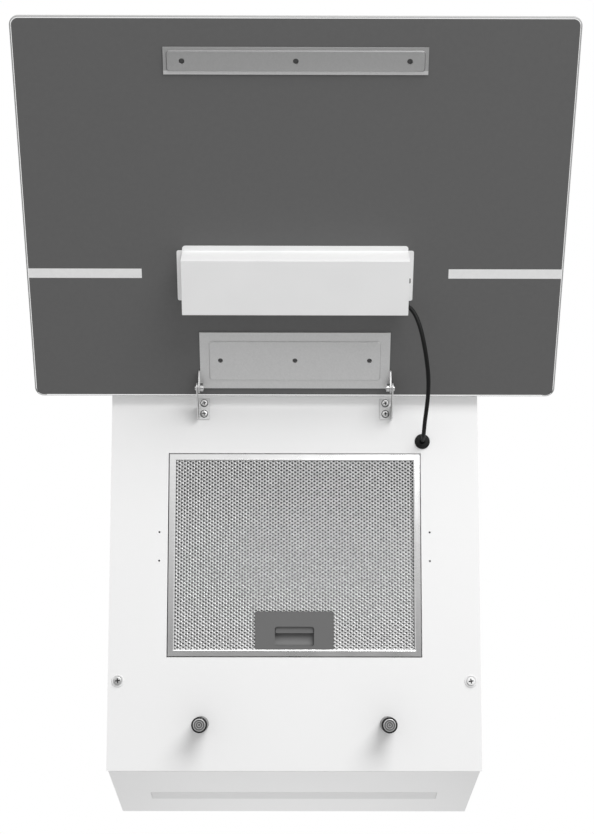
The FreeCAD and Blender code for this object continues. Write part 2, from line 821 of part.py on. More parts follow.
def hinges():
    hinge_bracket("hinge_bracket_left", "left")
    hinge_bracket("hinge_bracket_right", "right")
    screws = []
    for side in ("", "-"):
        for up in ("bracket_screw_low", "bracket_screw_high"):
            screws.append(cross_screw("BracketScrew", side + "bracket_screw_across", up, "bracket_sheet",
                                      "bracket_head_radius", "bracket_head_height", "screw_length"))
    piece(group("BracketScrews", screws), "bracket_screws", PANEL)
    bolts, nuts, spacers = [], [], []
    for name, left in (("Left", True), ("Right", False)):
        def lying(part, radius, low, high):
            """A round between two distances from the middle plane."""
            start = "-(%s)" % high if left else low
            length = "(%s) - (%s)" % (high, low)
            return rod(name + part, radius, length, start, "pivot_up", "pivot_out", True)
        inner = "%s - plate_sheet" % EAR_OUTER
        shank = lying("Shank", "pivot_radius", inner + " - pivot_nut_height - sheet", "bracket_outer")
        head = lying("PivotHead", "pivot_head_radius", "bracket_outer", "bracket_outer + pivot_head_height")
        bolts.append(fuse(name + "PivotBolt", [shank, head]))
        nut_low, nut_high = inner + " - play - pivot_nut_height", inner + " - play"
        nut = lying("PivotNut", "pivot_nut_radius", nut_low, nut_high)
        bore = lying("PivotNutBore", "pivot_radius", nut_low, nut_high)
        nuts.append(cut(name + "PivotLockNut", nut, [bore]))
        low, high = EAR_OUTER + " + play", "bracket_outer - bracket_sheet"
        disc = lying("Spacer", "pivot_washer_radius", low, high)
        hole = lying("SpacerBore", "pivot_radius", low, high)
        spacers.append(cut(name + "PivotSpacer", disc, [hole]))
    piece(group("PivotBolts", bolts), "pivot_bolts", PANEL)
    piece(group("PivotNuts", nuts), "pivot_nuts", PANEL)
    piece(group("PivotSpacers", spacers), "pivot_spacers", PANEL)


# Glass door: across, up from the hinge-side edge, and out from the inner face
def glass_door():
    body = new_body("GlassPanel")
    face = sketch(body, "XY_Plane", "-glass_thick")
    centred(face, "glass_width", "0", "glass_length")
    slab = pad(body, face, "glass_thick - coat_thick")
    fillet_corners(body, slab, FreeCAD.Vector(0, 0, 1), "glass_corner")
    piece(body, "glass_panel", DOOR)

    coat = new_body("BackCoat")
    film = sketch(coat, "XY_Plane", "-coat_thick")
    centred(film, "glass_width - 2 * coat_inset", "coat_inset", "glass_length - coat_inset")
    layer = pad(coat, film, "coat_thick")
    fillet_corners(coat, layer, FreeCAD.Vector(0, 0, 1), "coat_corner")
    gaps = sketch(coat, "XY_Plane")
    edge = "(glass_width / 2 - coat_inset)"
    rectangle(gaps, "stripe_inner", "stripe_low", edge + " + overrun", "stripe_high")
    rectangle(gaps, "-stripe_inner", "stripe_low", "-%s - overrun" % edge, "stripe_high")
    pocket(coat, gaps, "coat_thick")
    piece(coat, "back_coating", DOOR)

    stripes = []
    for name, low, high in (("Left", "-" + edge, "-stripe_inner"), ("Right", "stripe_inner", edge)):
        stripes.append(block(name + "Stripe", low, high, "stripe_low", "stripe_high", "-coat_thick", "0"))
    piece(group("DecorStripes", stripes), "decor_stripes", DOOR)


def raised_field(body, width, low, high, border, base, rise):
    """A flat field pressed up from a plate, with round corners and sloping edges."""
    field = sketch(body, "XY_Plane", base)
    centred(field, "%s - 2 * %s" % (width, border), "%s + %s" % (low, border), "%s - %s" % (high, border))
    boss = pad(body, field, rise)
    doc.recompute()
    rounding = body.newObject("PartDesign::Fillet", body.Name + "FieldCorners")
    rounding.Base = (boss, upright_edges_of_top(boss.Shape))
    set_size(rounding, "Radius", "pressed_corner")
    doc.recompute()
    slope = body.newObject("PartDesign::Chamfer", body.Name + "FieldSlope")
    slope.Base = (rounding, top_edges(rounding.Shape))
    set_size(slope, "Size", "pressed_edge")


def upright_edges_of_top(shape):
    """Names of the upright edges that end in the topmost plane."""
    top = shape.BoundBox.ZMax
    names = []
    for number, edge in enumerate(shape.Edges, start=1):
        box = edge.BoundBox
        if box.ZMax > top - 1e-6 and box.ZMin < top - 1e-6:
            names.append("Edge%d" % number)
    return names


def keeper_plate():
    body = new_body("KeeperPlate")
    face = sketch(body, "XY_Plane")
    centred(face, "keeper_width", "keeper_low", "keeper_high")
    pad(body, face, "keeper_sheet")
    raised_field(body, "keeper_width", "keeper_low", "keeper_high", "keeper_border",
                 "keeper_sheet", "keeper_rise")
    holes = sketch(body, "XY_Plane", "keeper_sheet + keeper_rise")
    for across in ("0", "keeper_hole_across", "-keeper_hole_across"):
        circle(holes, across, "(keeper_low + keeper_high) / 2", "keeper_hole_radius")
    pocket(body, holes, "keeper_sheet + keeper_rise")
    piece(body, "keeper_plate", DOOR)


def hinge_plate():
    """The plate bonded to the glass, with an ear bent up at each end."""
    body = new_body("HingePlate")
    face = sketch(body, "XY_Plane")
    centred(face, "plate_width", "plate_low", "plate_high")
    pad(body, face, "plate_sheet")
    raised_field(body, "plate_width", "plate_low", "plate_high", "plate_border",
                 "plate_sheet", "plate_rise")
    feet = sketch(body, "XY_Plane")
    centred(feet, "2 * " + EAR_OUTER, "plate_low", "plate_ear_high")
    pad(body, feet, "plate_sheet")
    long_share, short_share = EYE_SIDE_SHARES
    for lift in (EAR_OUTER + " - plate_sheet", "-" + EAR_OUTER):
        ear = sketch(body, "YZ_Plane", lift)
        polygon(ear, [
            ("plate_low", "0"), ("plate_ear_high", "0"), ("plate_ear_high", "plate_ear_step"),
            ("pivot_edge + %s * eye_radius" % long_share, "pivot_gap + %s * eye_radius" % short_share),
            ("pivot_edge - %s * eye_radius" % long_share, "pivot_gap - %s * eye_radius" % short_share)])
        pad(body, ear, "plate_sheet")
        eye = sketch(body, "YZ_Plane", lift)
        circle(eye, "pivot_edge", "pivot_gap", "eye_radius")
        pad(body, eye, "plate_sheet")
    notch = sketch(body, "XY_Plane", "plate_sheet")
    for side in ("", "-"):
        inner = "(%s - plate_sheet - relief_width)" % EAR_OUTER
        outer = "(%s - plate_sheet)" % EAR_OUTER
        rectangle(notch, side + inner, "plate_low - overrun", side + outer, "relief_high")
    pocket(body, notch, "plate_sheet")
    holes = sketch(body, "XY_Plane", "plate_sheet + plate_rise")
    for across in ("0", "plate_hole_across", "-plate_hole_across"):
        circle(holes, across, "plate_hole_up", "plate_hole_radius")
    pocket(body, holes, "plate_sheet + plate_rise")
    hole = sketch(body, "YZ_Plane", EAR_OUTER)
    circle(hole, "pivot_edge", "pivot_gap", "pivot_radius + pivot_play")
    pocket(body, hole, "2 * " + EAR_OUTER)
    piece(body, "hinge_plate", DOOR)


def control_box():
    """Touch control: base bonded to the glass, cover, board and sensor block."""
    base = new_body("ControlBase")
    face = sketch(base, "XY_Plane")
    centred(face, "box_width", "box_low + sheet", "box_high + base_flange")
    top = pad(base, face, "box_sheet")
    fillet_corners(base, top, FreeCAD.Vector(0, 0, 1), "base_corner")
    tabs = sketch(base, "XY_Plane")
    centred(tabs, "box_width + 2 * base_tab", "box_low + sheet + base_corner", "box_high")
    pad(base, tabs, "box_sheet")
    holes = sketch(base, "XY_Plane", "box_sheet")
    for side in ("", "-"):
        circle(holes, side + "(box_width + base_tab) / 2", "tab_hole_up", "tab_hole_radius")
    pocket(base, holes, "box_sheet")
    piece(base, "control_base", DOOR)

    cover = new_body("ControlCover")
    outer = sketch(cover, "XY_Plane", "box_sheet")
    centred(outer, "box_width", "box_low", "box_high")
    pad(cover, outer, "box_height - box_sheet")
    room = sketch(cover, "XY_Plane", "box_height - box_sheet")
    centred(room, "box_width - 2 * box_sheet", "box_low + box_sheet", "box_high - box_sheet")
    pocket(cover, room, "box_height - 2 * box_sheet")
    exit_hole = sketch(cover, "YZ_Plane", "box_width / 2")
    circle(exit_hole, "cable_exit_up", "cable_exit_out", "cable_exit_radius")
    pocket(cover, exit_hole, "box_sheet")
    piece(cover, "control_cover", DOOR)

    middle = "((box_low + box_high) / 2)"
    sensor = new_body("TouchSensor")
    pads = sketch(sensor, "XY_Plane", "box_sheet")
    centred(pads, "sensor_length", middle + " - sensor_width / 2", middle + " + sensor_width / 2")
    pad(sensor, pads, "sensor_height")
    piece(sensor, "touch_sensor", DOOR)
    board = new_body("ControlBoard")
    card = sketch(board, "XY_Plane", "box_sheet + sensor_height")
    centred(card, "board_length", middle + " - board_width / 2", middle + " + board_width / 2")
    pad(board, card, "board_sheet")
    piece(board, "control_board", DOOR)


# Grease filter: panel axes, its face just proud of the panel
def filter_cassette():
    wide = "(opening_width - 2 * filter_gap)"
    low, high = "(opening_low + filter_gap)", "(opening_high - filter_gap)"
    body = new_body("FilterFrame")
    ring = sketch(body, "XY_Plane", "-filter_depth")
    centred(ring, wide, low, high)
    rim = pad(body, ring, "filter_depth + filter_rise")
    doc.recompute()
    slope = body.newObject("PartDesign::Chamfer", "FrameSlope")
    slope.Base = (rim, top_edges(rim.Shape))
    slope.ChamferType = "Two distances"
    slope.FlipDirection = False
    set_size(slope, "Size", "filter_rise")
    set_size(slope, "Size2", "filter_face - filter_lip")
    inside = sketch(body, "XY_Plane", "filter_rise")
    centred(inside, wide + " - 2 * filter_face", low + " + filter_face", high + " - filter_face")
    pocket(body, inside, "filter_depth + filter_rise")
    slot = sketch(body, "XY_Plane", "-filter_depth + latch_stem_sheet + 2 * play")
    centred(slot, "latch_stem_width + 2 * play", low + " - overrun", low + " + filter_face + play")
    pocket(body, slot, "latch_stem_sheet + 2 * play + overrun")
    piece(body, "filter_frame", PANEL)

    mesh_layer("front_mesh", "-mesh_drop - mesh_sheet")
    mesh_layer("rear_mesh", "-filter_depth")
    core = new_body("FilterCore")
    pack = sketch(core, "XY_Plane", "-filter_depth + mesh_sheet")
    centred(pack, wide + " - 2 * filter_face", low + " + filter_face", high + " - filter_face")
    pad(core, pack, "filter_depth - 2 * mesh_sheet - mesh_drop")
    room = sketch(core, "XY_Plane", "-mesh_drop - mesh_sheet")
    centred(room, CUP_WIDE, low + " + filter_face - overrun", CUP_TOP)
    pocket(core, room, "filter_depth")
    piece(core, "filter_core", PANEL)


def top_edges(shape):
    """Names of the edges that lie in the topmost plane."""
    top = shape.BoundBox.ZMax
    names = []
    for number, edge in enumerate(shape.Edges, start=1):
        if edge.BoundBox.ZMin > top - 1e-6:
            names.append("Edge%d" % number)
    return names


def mesh_layer(node, lift):
    """A sheet of expanded metal: rows of diamond holes, staggered by half a step."""
    width = size_of("opening_width") - 2 * size_of("filter_gap") - 2 * size_of("filter_face")
    low = size_of("opening_low") + size_of("filter_gap") + size_of("filter_face")
    high = size_of("opening_high") - size_of("filter_gap") - size_of("filter_face")
    step_across, step_up = width / MESH_COLUMNS, (high - low) / MESH_ROWS
    strand = size_of("strand")
    half = width / 2
    cup_half = size_of("recess_width") / 2 + 2 * size_of("cup_wall")
    cup_top = size_of("recess_high") + size_of("cup_reach") + 2 * size_of("cup_wall")
    notch = [(-half, low), (-cup_half, low), (-cup_half, cup_top), (cup_half, cup_top),
             (cup_half, low), (half, low), (half, high), (-half, high)]
    wires = [Part.makePolygon([FreeCAD.Vector(x, y, 0) for x, y in notch + notch[:1]])]
    half_across = (step_across - strand) / 2
    half_up = (step_up - strand) / 2
    for line in range(MESH_ROWS):
        shift = (line % 2) / 2
        for column in range(MESH_COLUMNS - line % 2):
            x = (column + 0.5 + shift) * step_across - half
            y = low + (line + 0.5) * step_up
            beside_cup = abs(x) < cup_half + half_across + strand / 2
            if beside_cup and y - half_up < cup_top + strand:
                continue
            tips = [(x - half_across, y), (x, y - half_up), (x + half_across, y), (x, y + half_up)]
            wires.append(Part.makePolygon([FreeCAD.Vector(a, b, 0) for a, b in tips + tips[:1]]))
    face = Part.makeFace(wires, "Part::FaceMakerBullseye")
    layer = doc.addObject("Part::Feature", node.title().replace("_", ""))
    layer.Shape = face.extrude(FreeCAD.Vector(0, 0, size_of("mesh_sheet")))
    raised = group(node.title().replace("_", "") + "Sheet", [layer])
    set_size(layer, "Placement.Base.z", lift)
    piece(raised, node, PANEL)


def filter_handle():
    """The pull: a cover plate with a cup behind it and the latch slide in the cup."""
    plate = new_body("HandlePlate")
    cover = sketch(plate, "XY_Plane", "-mesh_drop")
    centred(cover, "handle_width", "handle_low", "handle_high")
    slab = pad(plate, cover, "handle_sheet")
    fillet_corners(plate, slab, FreeCAD.Vector(0, 0, 1), "sheet")
    cup = sketch(plate, "XY_Plane", "-mesh_drop")
    centred(cup, "recess_width + 2 * cup_wall",
            "recess_low - cup_wall", "recess_high + cup_reach + cup_wall")
    flip = pad(plate, cup, "cup_depth + cup_wall")
    flip.Reversed = True
    window = sketch(plate, "XY_Plane", "handle_sheet - mesh_drop")
    centred(window, "recess_width", "recess_low", "recess_high")
    pocket(plate, window, "handle_sheet")
    room = sketch(plate, "XY_Plane", "-mesh_drop")
    centred(room, "recess_width", "recess_low", "recess_high + cup_reach")
    pocket(plate, room, "cup_depth")
    slot = sketch(plate, "XY_Plane", "-mesh_drop - cup_depth")
    centred(slot, "latch_link_width + 2 * play",
            "latch_low", "latch_low + latch_height + latch_travel + play")
    pocket(plate, slot, "cup_wall")
    piece(plate, "handle_plate", PANEL)

    top = "(-mesh_drop - latch_drop)"
    bar = block("LatchBar", "-latch_width / 2", "latch_width / 2", "latch_low", "latch_low + latch_height",
                top + " - latch_sheet", top)
    stem_top = "(-filter_depth + latch_stem_sheet + play)"
    stem = block("LatchStem", "-latch_stem_width / 2", "latch_stem_width / 2",
                 "opening_low + filter_gap - latch_bolt", "latch_low + latch_height",
                 "-filter_depth + play", stem_top)
    link = block("LatchLink", "-latch_link_width / 2", "latch_link_width / 2",
                 "latch_low + latch_height - latch_link_height", "latch_low + latch_height",
                 stem_top + " - latch_stem_sheet / 2", top + " - latch_sheet / 2")
    piece(fuse("LatchSlide", [bar, stem, link]), "latch_slide", PANEL)


# Air path
def scroll():
    """Fan housing: a drum and a neck up to the top panel, closed by a cover."""
    neck_top = HEIGHT + " - sheet"
    half = "(scroll_width / 2)"
    neck = "(duct_radius - duct_wall)"
    body = new_body("ScrollHousing")
    drum = sketch(body, "YZ_Plane", "-" + half)
    circle(drum, "-fan_back", "fan_up", "scroll_radius")
    pad(body, drum, "scroll_width - scroll_wall")
    stack = sketch(body, "YZ_Plane", "-" + half)
    rectangle(stack, "-fan_back - %s - scroll_wall" % neck, "fan_up",
              "-fan_back + %s + scroll_wall" % neck, neck_top)
    pad(body, stack, "scroll_width - scroll_wall")
    hollow = sketch(body, "YZ_Plane", half + " - scroll_wall")
    circle(hollow, "-fan_back", "fan_up", "scroll_radius - scroll_wall")
    pocket(body, hollow, "scroll_width - 2 * scroll_wall")
    flue = sketch(body, "YZ_Plane", half + " - scroll_wall")
    rectangle(flue, "-fan_back - " + neck, "fan_up", "-fan_back + " + neck, neck_top + " + overrun")
    pocket(body, flue, "scroll_width - 2 * scroll_wall")
    shaft_hole = sketch(body, "YZ_Plane", "-%s + scroll_wall" % half)
    circle(shaft_hole, "-fan_back", "fan_up", "motor_cap_radius + play")
    for turn in motor_screw_turns():
        circle(shaft_hole, "-fan_back + %s * cos(%s)" % (MOTOR_SCREW_RING, turn),
               "fan_up + %s * sin(%s)" % (MOTOR_SCREW_RING, turn), "motor_screw_radius")
    pocket(body, shaft_hole, "scroll_wall")
    piece(body, "scroll_housing", CASING)

    cover = new_body("ScrollCover")
    disc = sketch(cover, "YZ_Plane", half + " - scroll_wall")
    circle(disc, "-fan_back", "fan_up", "scroll_radius")
    pad(cover, disc, "scroll_wall")
    sheet_part = sketch(cover, "YZ_Plane", half + " - scroll_wall")
    rectangle(sheet_part, "-fan_back - %s - scroll_wall" % neck, "fan_up",
              "-fan_back + %s + scroll_wall" % neck, neck_top)
    pad(cover, sheet_part, "scroll_wall")
    mouth = sketch(cover, "YZ_Plane", half)
    circle(mouth, "-fan_back", "fan_up", "inlet_radius")
    pocket(cover, mouth, "scroll_wall")
    piece(cover, "scroll_cover", CASING)


def motor_screw_turns():
    return ["%d" % (360 * part / MOTOR_SCREWS) for part in range(MOTOR_SCREWS)]


def along_axis(body, node, start):
    """Lay a piece that was turned about Z along the fan's axis."""
    body.Placement = FreeCAD.Placement(FreeCAD.Vector(), FreeCAD.Rotation(Y_AXIS, 90))
    set_size(body, "Placement.Base.x", start)
    set_size(body, "Placement.Base.y", "-fan_back")
    set_size(body, "Placement.Base.z", "fan_up - mount_rise")
    body.Label = node
    PIECES[node] = body


def fan():
    half = "(scroll_width / 2)"
    ring = turned("InletRing", [
        ("inlet_radius - scroll_wall", "-inlet_depth"), ("inlet_radius", "-inlet_depth"),
        ("inlet_radius", "0"), ("inlet_radius + inlet_flange", "0"),
        ("inlet_radius + inlet_flange", "scroll_wall"), ("inlet_radius - scroll_wall", "scroll_wall")])
    along_axis(ring, "inlet_ring", half)

    motor = turned("FanMotor", [
        ("fan_bore + shaft_play", "-motor_length"), ("motor_radius", "-motor_length"),
        ("motor_radius", "-motor_flange"), ("motor_flange_radius", "-motor_flange"),
        ("motor_flange_radius", "0"), ("motor_cap_radius", "0"),
        ("motor_cap_radius", "motor_cap_length"), ("fan_bore + shaft_play", "motor_cap_length")])
    screw_ring = sketch(motor, "XY_Plane", "0")
    for turn in motor_screw_turns():
        circle(screw_ring, "-%s * sin(%s)" % (MOTOR_SCREW_RING, turn),
               "%s * cos(%s)" % (MOTOR_SCREW_RING, turn), "motor_screw_radius")
    pocket(motor, screw_ring, "motor_flange")
    along_axis(motor, "fan_motor", "-" + half)

    screws = []
    for turn in motor_screw_turns():
        across = "-%s * sin(%s)" % (MOTOR_SCREW_RING, turn)
        up = "%s * cos(%s)" % (MOTOR_SCREW_RING, turn)
        shank = rod("MotorShank", "motor_screw_radius", "motor_screw_length", across, up, "-motor_flange")
        head = rod("MotorHead", "2 * motor_screw_radius", "motor_screw_radius", across, up,
                   "-motor_flange - motor_screw_radius")
        screws.append(fuse("MotorScrew", [shank, head]))
    along_axis(group("MotorScrews", screws), "motor_screws", "-" + half)

    start = "(-fan_width / 2)"
    shaft_start = "(-%s - motor_length - motor_cap_length)" % half
    shaft_end = "(%s + fan_hub_length)" % start
    shaft = turned("FanShaft", [
        ("0", shaft_start), ("fan_bore", shaft_start), ("fan_bore", shaft_end), ("0", shaft_end)])
    along_axis(shaft, "fan_shaft", "0")

    wheel = turned("Impeller", [
        ("fan_bore", start), ("fan_radius", start), ("fan_radius", start + " + fan_disc"),
        ("fan_hub_radius", start + " + fan_disc"), ("fan_hub_radius", start + " + fan_hub_length"),
        ("fan_bore", start + " + fan_hub_length")])
    rim = sketch(wheel, "XY_Plane", "fan_width / 2 - fan_disc")
    circle(rim, "0", "0", "fan_radius")
    circle(rim, "0", "0", "fan_radius - blade_depth")
    blade = sketch(wheel, "XY_Plane", start)
    root = "(fan_radius - blade_depth + blade_sheet)"
    tip = "(fan_radius - blade_sheet)"
    sweep = "(blade_depth * tan(blade_angle))"
    polygon(blade, [
        (root, "0"), (tip, sweep), (tip, sweep + " + blade_sheet"), (root, "1.5 * blade_sheet")])
    vane = pad(wheel, blade, "fan_width")
    vanes = wheel.newObject("PartDesign::PolarPattern", "Vanes")
    vanes.Originals = [vane]
    vanes.Axis = (blade, ["N_Axis"])
    vanes.Angle = 360
    set_size(vanes, "Occurrences", "fan_blades")
    wheel.Tip = vanes
    pad(wheel, rim, "fan_disc")
    along_axis(wheel, "impeller", "0")


def duct_collar():
    """Outlet collar with its flange, a stop ring and a rod for the two back-draught flaps."""
    inner = "(duct_radius - duct_wall)"
    stop = "(rod_up - flap_drop - flap_sheet)"
    tube = turned("CollarTube", [
        (inner, "collar_flange"), ("duct_radius", "collar_flange"),
        ("duct_radius", "collar_flange + duct_height"), (inner, "collar_flange + duct_height")])
    bore = sketch(tube, "YZ_Plane", "duct_radius + overrun")
    circle(bore, "0", "collar_flange + rod_up", "rod_radius")
    pocket(tube, bore, "2 * duct_radius + 2 * overrun")
    flange = turned("CollarFlange", [
        (inner, "0"), ("collar_flange_radius", "0"), ("collar_flange_radius", "collar_flange"),
        (inner, "collar_flange")])
    ring = turned("StopRing", [
        (inner, "collar_flange + " + stop), (inner + " - stop_width", "collar_flange + " + stop),
        (inner + " - stop_width", "collar_flange + %s - stop_height" % stop),
        (inner, "collar_flange + %s - stop_height" % stop)])
    place_collar = ("0", "0", "-fan_back", HEIGHT + " - mount_rise")
    piece(group("OutletCollar", [tube, flange, ring]), "outlet_collar", place_collar)
    axle = rod("DamperRod", "rod_radius", "2 * duct_radius", "-duct_radius", "-fan_back", ROD_UP, True)
    piece(group("DamperAxle", [axle]), "damper_axle", CASING)
    flap("damper_flap_front", "front")
    flap("damper_flap_rear", "rear")


def flap(node, side):
    """Half a disc hung on a sleeve round the rod; it lies closed on the stop ring."""
    disc = rod(node + "_disc", "flap_radius", "flap_sheet", "0", "0", "-flap_drop - flap_sheet")
    if side == "front":
        away_low, away_high = "-flap_edge", "flap_radius + overrun"
        left, right = "-sleeve_start - sleeve_length", "-sleeve_start"
        web_low, web_high = "-sleeve_radius", "-rod_radius"
    else:
        away_low, away_high = "-flap_radius - overrun", "flap_edge"
        left, right = "sleeve_start", "sleeve_start + sleeve_length"
        web_low, web_high = "rod_radius", "sleeve_radius"
    away = block(node + "_away", "-flap_radius - overrun", "flap_radius + overrun",
                 away_low, away_high, "-flap_drop - flap_sheet - overrun", "overrun")
    half_disc = cut(node + "_half", disc, [away])
    sleeve = rod(node + "_sleeve", "sleeve_radius", "sleeve_length", left, "0", "0", True)
    web = block(node + "_web", left, right, web_low, web_high, "-flap_drop - flap_sheet / 2", "0")
    whole = fuse(node + "_whole", [half_disc, sleeve, web])
    bore = rod(node + "_bore", "rod_radius + sleeve_play", "sleeve_length + 2 * overrun",
               left + " - overrun", "0", "0", True)
    frame = ("0", "0", "-fan_back", ROD_UP + " - mount_rise")
    piece(cut(node + "_bored", whole, [bore]), node, frame)


# Electrical parts under the top panel and on the bottom panel
def electrical():
    roof = "(%s - sheet)" % HEIGHT
    floor = "(%s - case_height)" % roof
    right = "(case_left + case_width)"
    back, front = "(-case_back)", "(-case_back - case_depth)"
    case = new_body("PowerCase")
    shell = sketch(case, "XY_Plane", floor)
    rectangle(shell, "case_left", front, right, back)
    pad(case, shell, "case_height")
    room = sketch(case, "XY_Plane", roof + " - case_wall")
    rectangle(room, "case_left + case_wall", front + " + case_wall",
              right + " - case_wall", back + " - case_wall")
    pocket(case, room, "case_height - case_wall")
    piece(case, "power_case", CASING)
    lid = new_body("PowerLid")
    cover = sketch(lid, "XY_Plane", floor + " - case_lid")
    rectangle(cover, "case_left", front, right, back)
    pad(lid, cover, "case_lid")
    piece(lid, "power_case_lid", CASING)
    inside = "(case_left + case_wall + play)"
    clip = block("Terminals", inside, inside + " + terminal_length",
                 back + " - case_wall - play - terminal_width", back + " - case_wall - play",
                 floor, floor + " + terminal_height")
    piece(group("TerminalBlock", [clip]), "terminal_block", CASING)
    can = rod("Capacitor", "capacitor_radius", "capacitor_length", inside,
              front + " + case_wall + play + capacitor_radius", floor + " + capacitor_radius", True)
    piece(group("MotorCapacitor", [can]), "motor_capacitor", CASING)
    driver = block("Driver", "-driver_left - driver_length", "-driver_left",
                   "-driver_back - driver_width", "-driver_back", "sheet", "sheet + driver_height")
    piece(group("LedDriver", [driver]), "led_driver", CASING)
    nut_low = "(-sheet - gland_nut_height)"
    gland = turned("MainsGland", [
        ("gland_bore_radius", nut_low), ("gland_neck_radius", nut_low),
        ("gland_neck_radius", "0"), ("gland_head_radius", "0"),
        ("gland_head_radius", "gland_head_height / 2"),
        ("gland_neck_radius", "gland_head_height"), ("gland_bore_radius", "gland_head_height")])
    piece(gland, "mains_gland", ("0", "gland_across", "-gland_back", HEIGHT + " - mount_rise"))
    nut = turned("GlandNut", [
        ("gland_neck_radius", nut_low), ("gland_nut_radius", nut_low),
        ("gland_nut_radius", "-sheet"), ("gland_neck_radius", "-sheet")])
    piece(nut, "gland_nut", ("0", "gland_across", "-gland_back", HEIGHT + " - mount_rise"))


def control_cable():
    """A round cable of straight runs joined by tangent arcs, between box and grommet."""
    points = [FreeCAD.Vector(*spot) for spot in CABLE_ROUTE]
    edges = []
    start = points[0]
    for before, corner, after in zip(points, points[1:], points[2:]):
        into = (corner - before).normalize()
        out = (after - corner).normalize()
        half_turn = into.getAngle(out) / 2
        reach = RUN_SHARE * min((corner - before).Length, (after - corner).Length)
        radius = reach / math.tan(half_turn)
        print("cable turn %.0f degrees, radius %.1f" % (math.degrees(2 * half_turn), radius))
        first, last = corner - into * reach, corner + out * reach
        bisector = (out - into).normalize()
        middle = corner + bisector * (radius / math.cos(half_turn) - radius)
        edges.append(Part.LineSegment(start, first).toShape())
        edges.append(Part.Arc(first, middle, last).toShape())
        start = last
    edges.append(Part.LineSegment(start, points[-1]).toShape())
    path = Part.Wire(edges)
    radius = size_of("cable_radius")
    ring = Part.Wire(Part.makeCircle(radius, points[0], points[1] - points[0]))
    tube = path.makePipeShell([ring], True, False)
    section = math.pi * radius ** 2
    print("cable length %.1f, volume over section %.1f" % (path.Length, tube.Volume / section))
    run = doc.addObject("Part::Feature", "CableRun")
    run.Shape = tube
    piece(group("ControlCable", [run]), "control_cable", PANEL)


def check_document():
    doc.recompute()
    for item in doc.Objects:
        if "Invalid" in item.State or "Error" in item.State:
            raise RuntimeError("failed: %s %s" % (item.Name, item.State))
    for node, item in PIECES.items():
        if item.Shape.isNull() or not item.Shape.isValid() or not item.Shape.Solids:
            raise RuntimeError("bad shape: " + node)


def write_pieces():
    os.makedirs("parts", exist_ok=True)
    for node, item in PIECES.items():
        item.Shape.exportStep("parts/%s.step" % node)
        print("%-22s %2d solids" % (node, len(item.Shape.Solids)))


front_panel()
side_panels()
bottom_panel()
top_panel()
rear_panel()
wall_rails()
filter_seat()
lamp()
panel_fasteners()
cable_grommet()
studs()
hinges()
glass_door()
keeper_plate()
hinge_plate()
control_box()
filter_cassette()
filter_handle()
scroll()
fan()
duct_collar()
electrical()
control_cable()
check_document()
write_pieces()
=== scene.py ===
"""Looks of a slanted wall hood with its glass door swung up, in metres.

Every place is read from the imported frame.  Two tilted sets of axes serve the pieces: the
slanted front panel's and the open door's, each with X across, Y up and Z outwards.
"""
import json
import math

import bmesh
import bpy
from bpy.props import FloatProperty, FloatVectorProperty, PointerProperty
from mathutils import Matrix, Vector


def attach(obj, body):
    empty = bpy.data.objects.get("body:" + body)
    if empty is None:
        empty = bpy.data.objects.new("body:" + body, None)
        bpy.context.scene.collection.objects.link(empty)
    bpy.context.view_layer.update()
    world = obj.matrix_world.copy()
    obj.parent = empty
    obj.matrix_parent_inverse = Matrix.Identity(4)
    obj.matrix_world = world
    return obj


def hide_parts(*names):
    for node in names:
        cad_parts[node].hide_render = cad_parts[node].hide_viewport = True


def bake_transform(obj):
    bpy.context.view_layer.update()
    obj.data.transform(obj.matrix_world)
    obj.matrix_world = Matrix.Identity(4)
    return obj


bl_info = {
    "name": "Slanted Wall Hood",
    "version": (1, 0, 0),
    "blender": (4, 5, 0),
    "location": "View3D > Sidebar > Hood",
    "description": "Dresses the frame of a slanted wall hood with its finishes and details",
    "category": "Object",
}

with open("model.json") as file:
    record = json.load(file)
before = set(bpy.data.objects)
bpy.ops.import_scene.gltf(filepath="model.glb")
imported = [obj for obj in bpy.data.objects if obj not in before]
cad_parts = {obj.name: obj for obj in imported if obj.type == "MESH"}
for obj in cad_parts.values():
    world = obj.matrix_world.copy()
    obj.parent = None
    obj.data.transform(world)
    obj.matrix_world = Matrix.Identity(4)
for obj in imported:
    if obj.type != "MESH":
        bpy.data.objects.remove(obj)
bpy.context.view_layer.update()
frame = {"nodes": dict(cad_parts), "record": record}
NODES = frame["nodes"]
RECORD = frame["record"]
JOINTS = {joint["name"]: joint for joint in RECORD["behaviour"]["joints"]}
BODY_OF = {node: body for body, nodes in RECORD["behaviour"]["bodies"].items() for node in nodes}
MM = 0.001
MERGE = 0.002 * MM  # vertices closer than this are one
SMOOTH = math.radians(35)  # edges over this angle stay sharp
QUARTER_TURN = [math.radians(90 * step / 8) for step in range(9)]
PHOTO_HIGH = 834  # pixels
FINISHES = {}  # every finish under its short name

# Route of the control cable: across the panel, up it and out from it, in metres
CABLE_ROUTE = [
    (0.1190, 0.5204, 0.0918),
    (0.1274, 0.5168, 0.0928),
    (0.1344, 0.5072, 0.0944),
    (0.1396, 0.4930, 0.0956),
    (0.1436, 0.4756, 0.0944),
    (0.1470, 0.4568, 0.0896),
    (0.1496, 0.4388, 0.0806),
    (0.1502, 0.4220, 0.0686),
    (0.1492, 0.4064, 0.0546),
    (0.1480, 0.3928, 0.0400),
    (0.1479, 0.3808, 0.0244),
    (0.1480, 0.3758, 0.0100),
    (0.1480, 0.3758, -0.0040),
]
CABLE_DIAMETER = 0.0048


def linear(code):
    """An sRGB hex colour as linear numbers with a full alpha."""
    channels = [int(code[i:i + 2], 16) / 255 for i in (0, 2, 4)]
    light = [c / 12.92 if c <= 0.04045 else ((c + 0.055) / 1.055) ** 2.4 for c in channels]
    return (*light, 1.0)


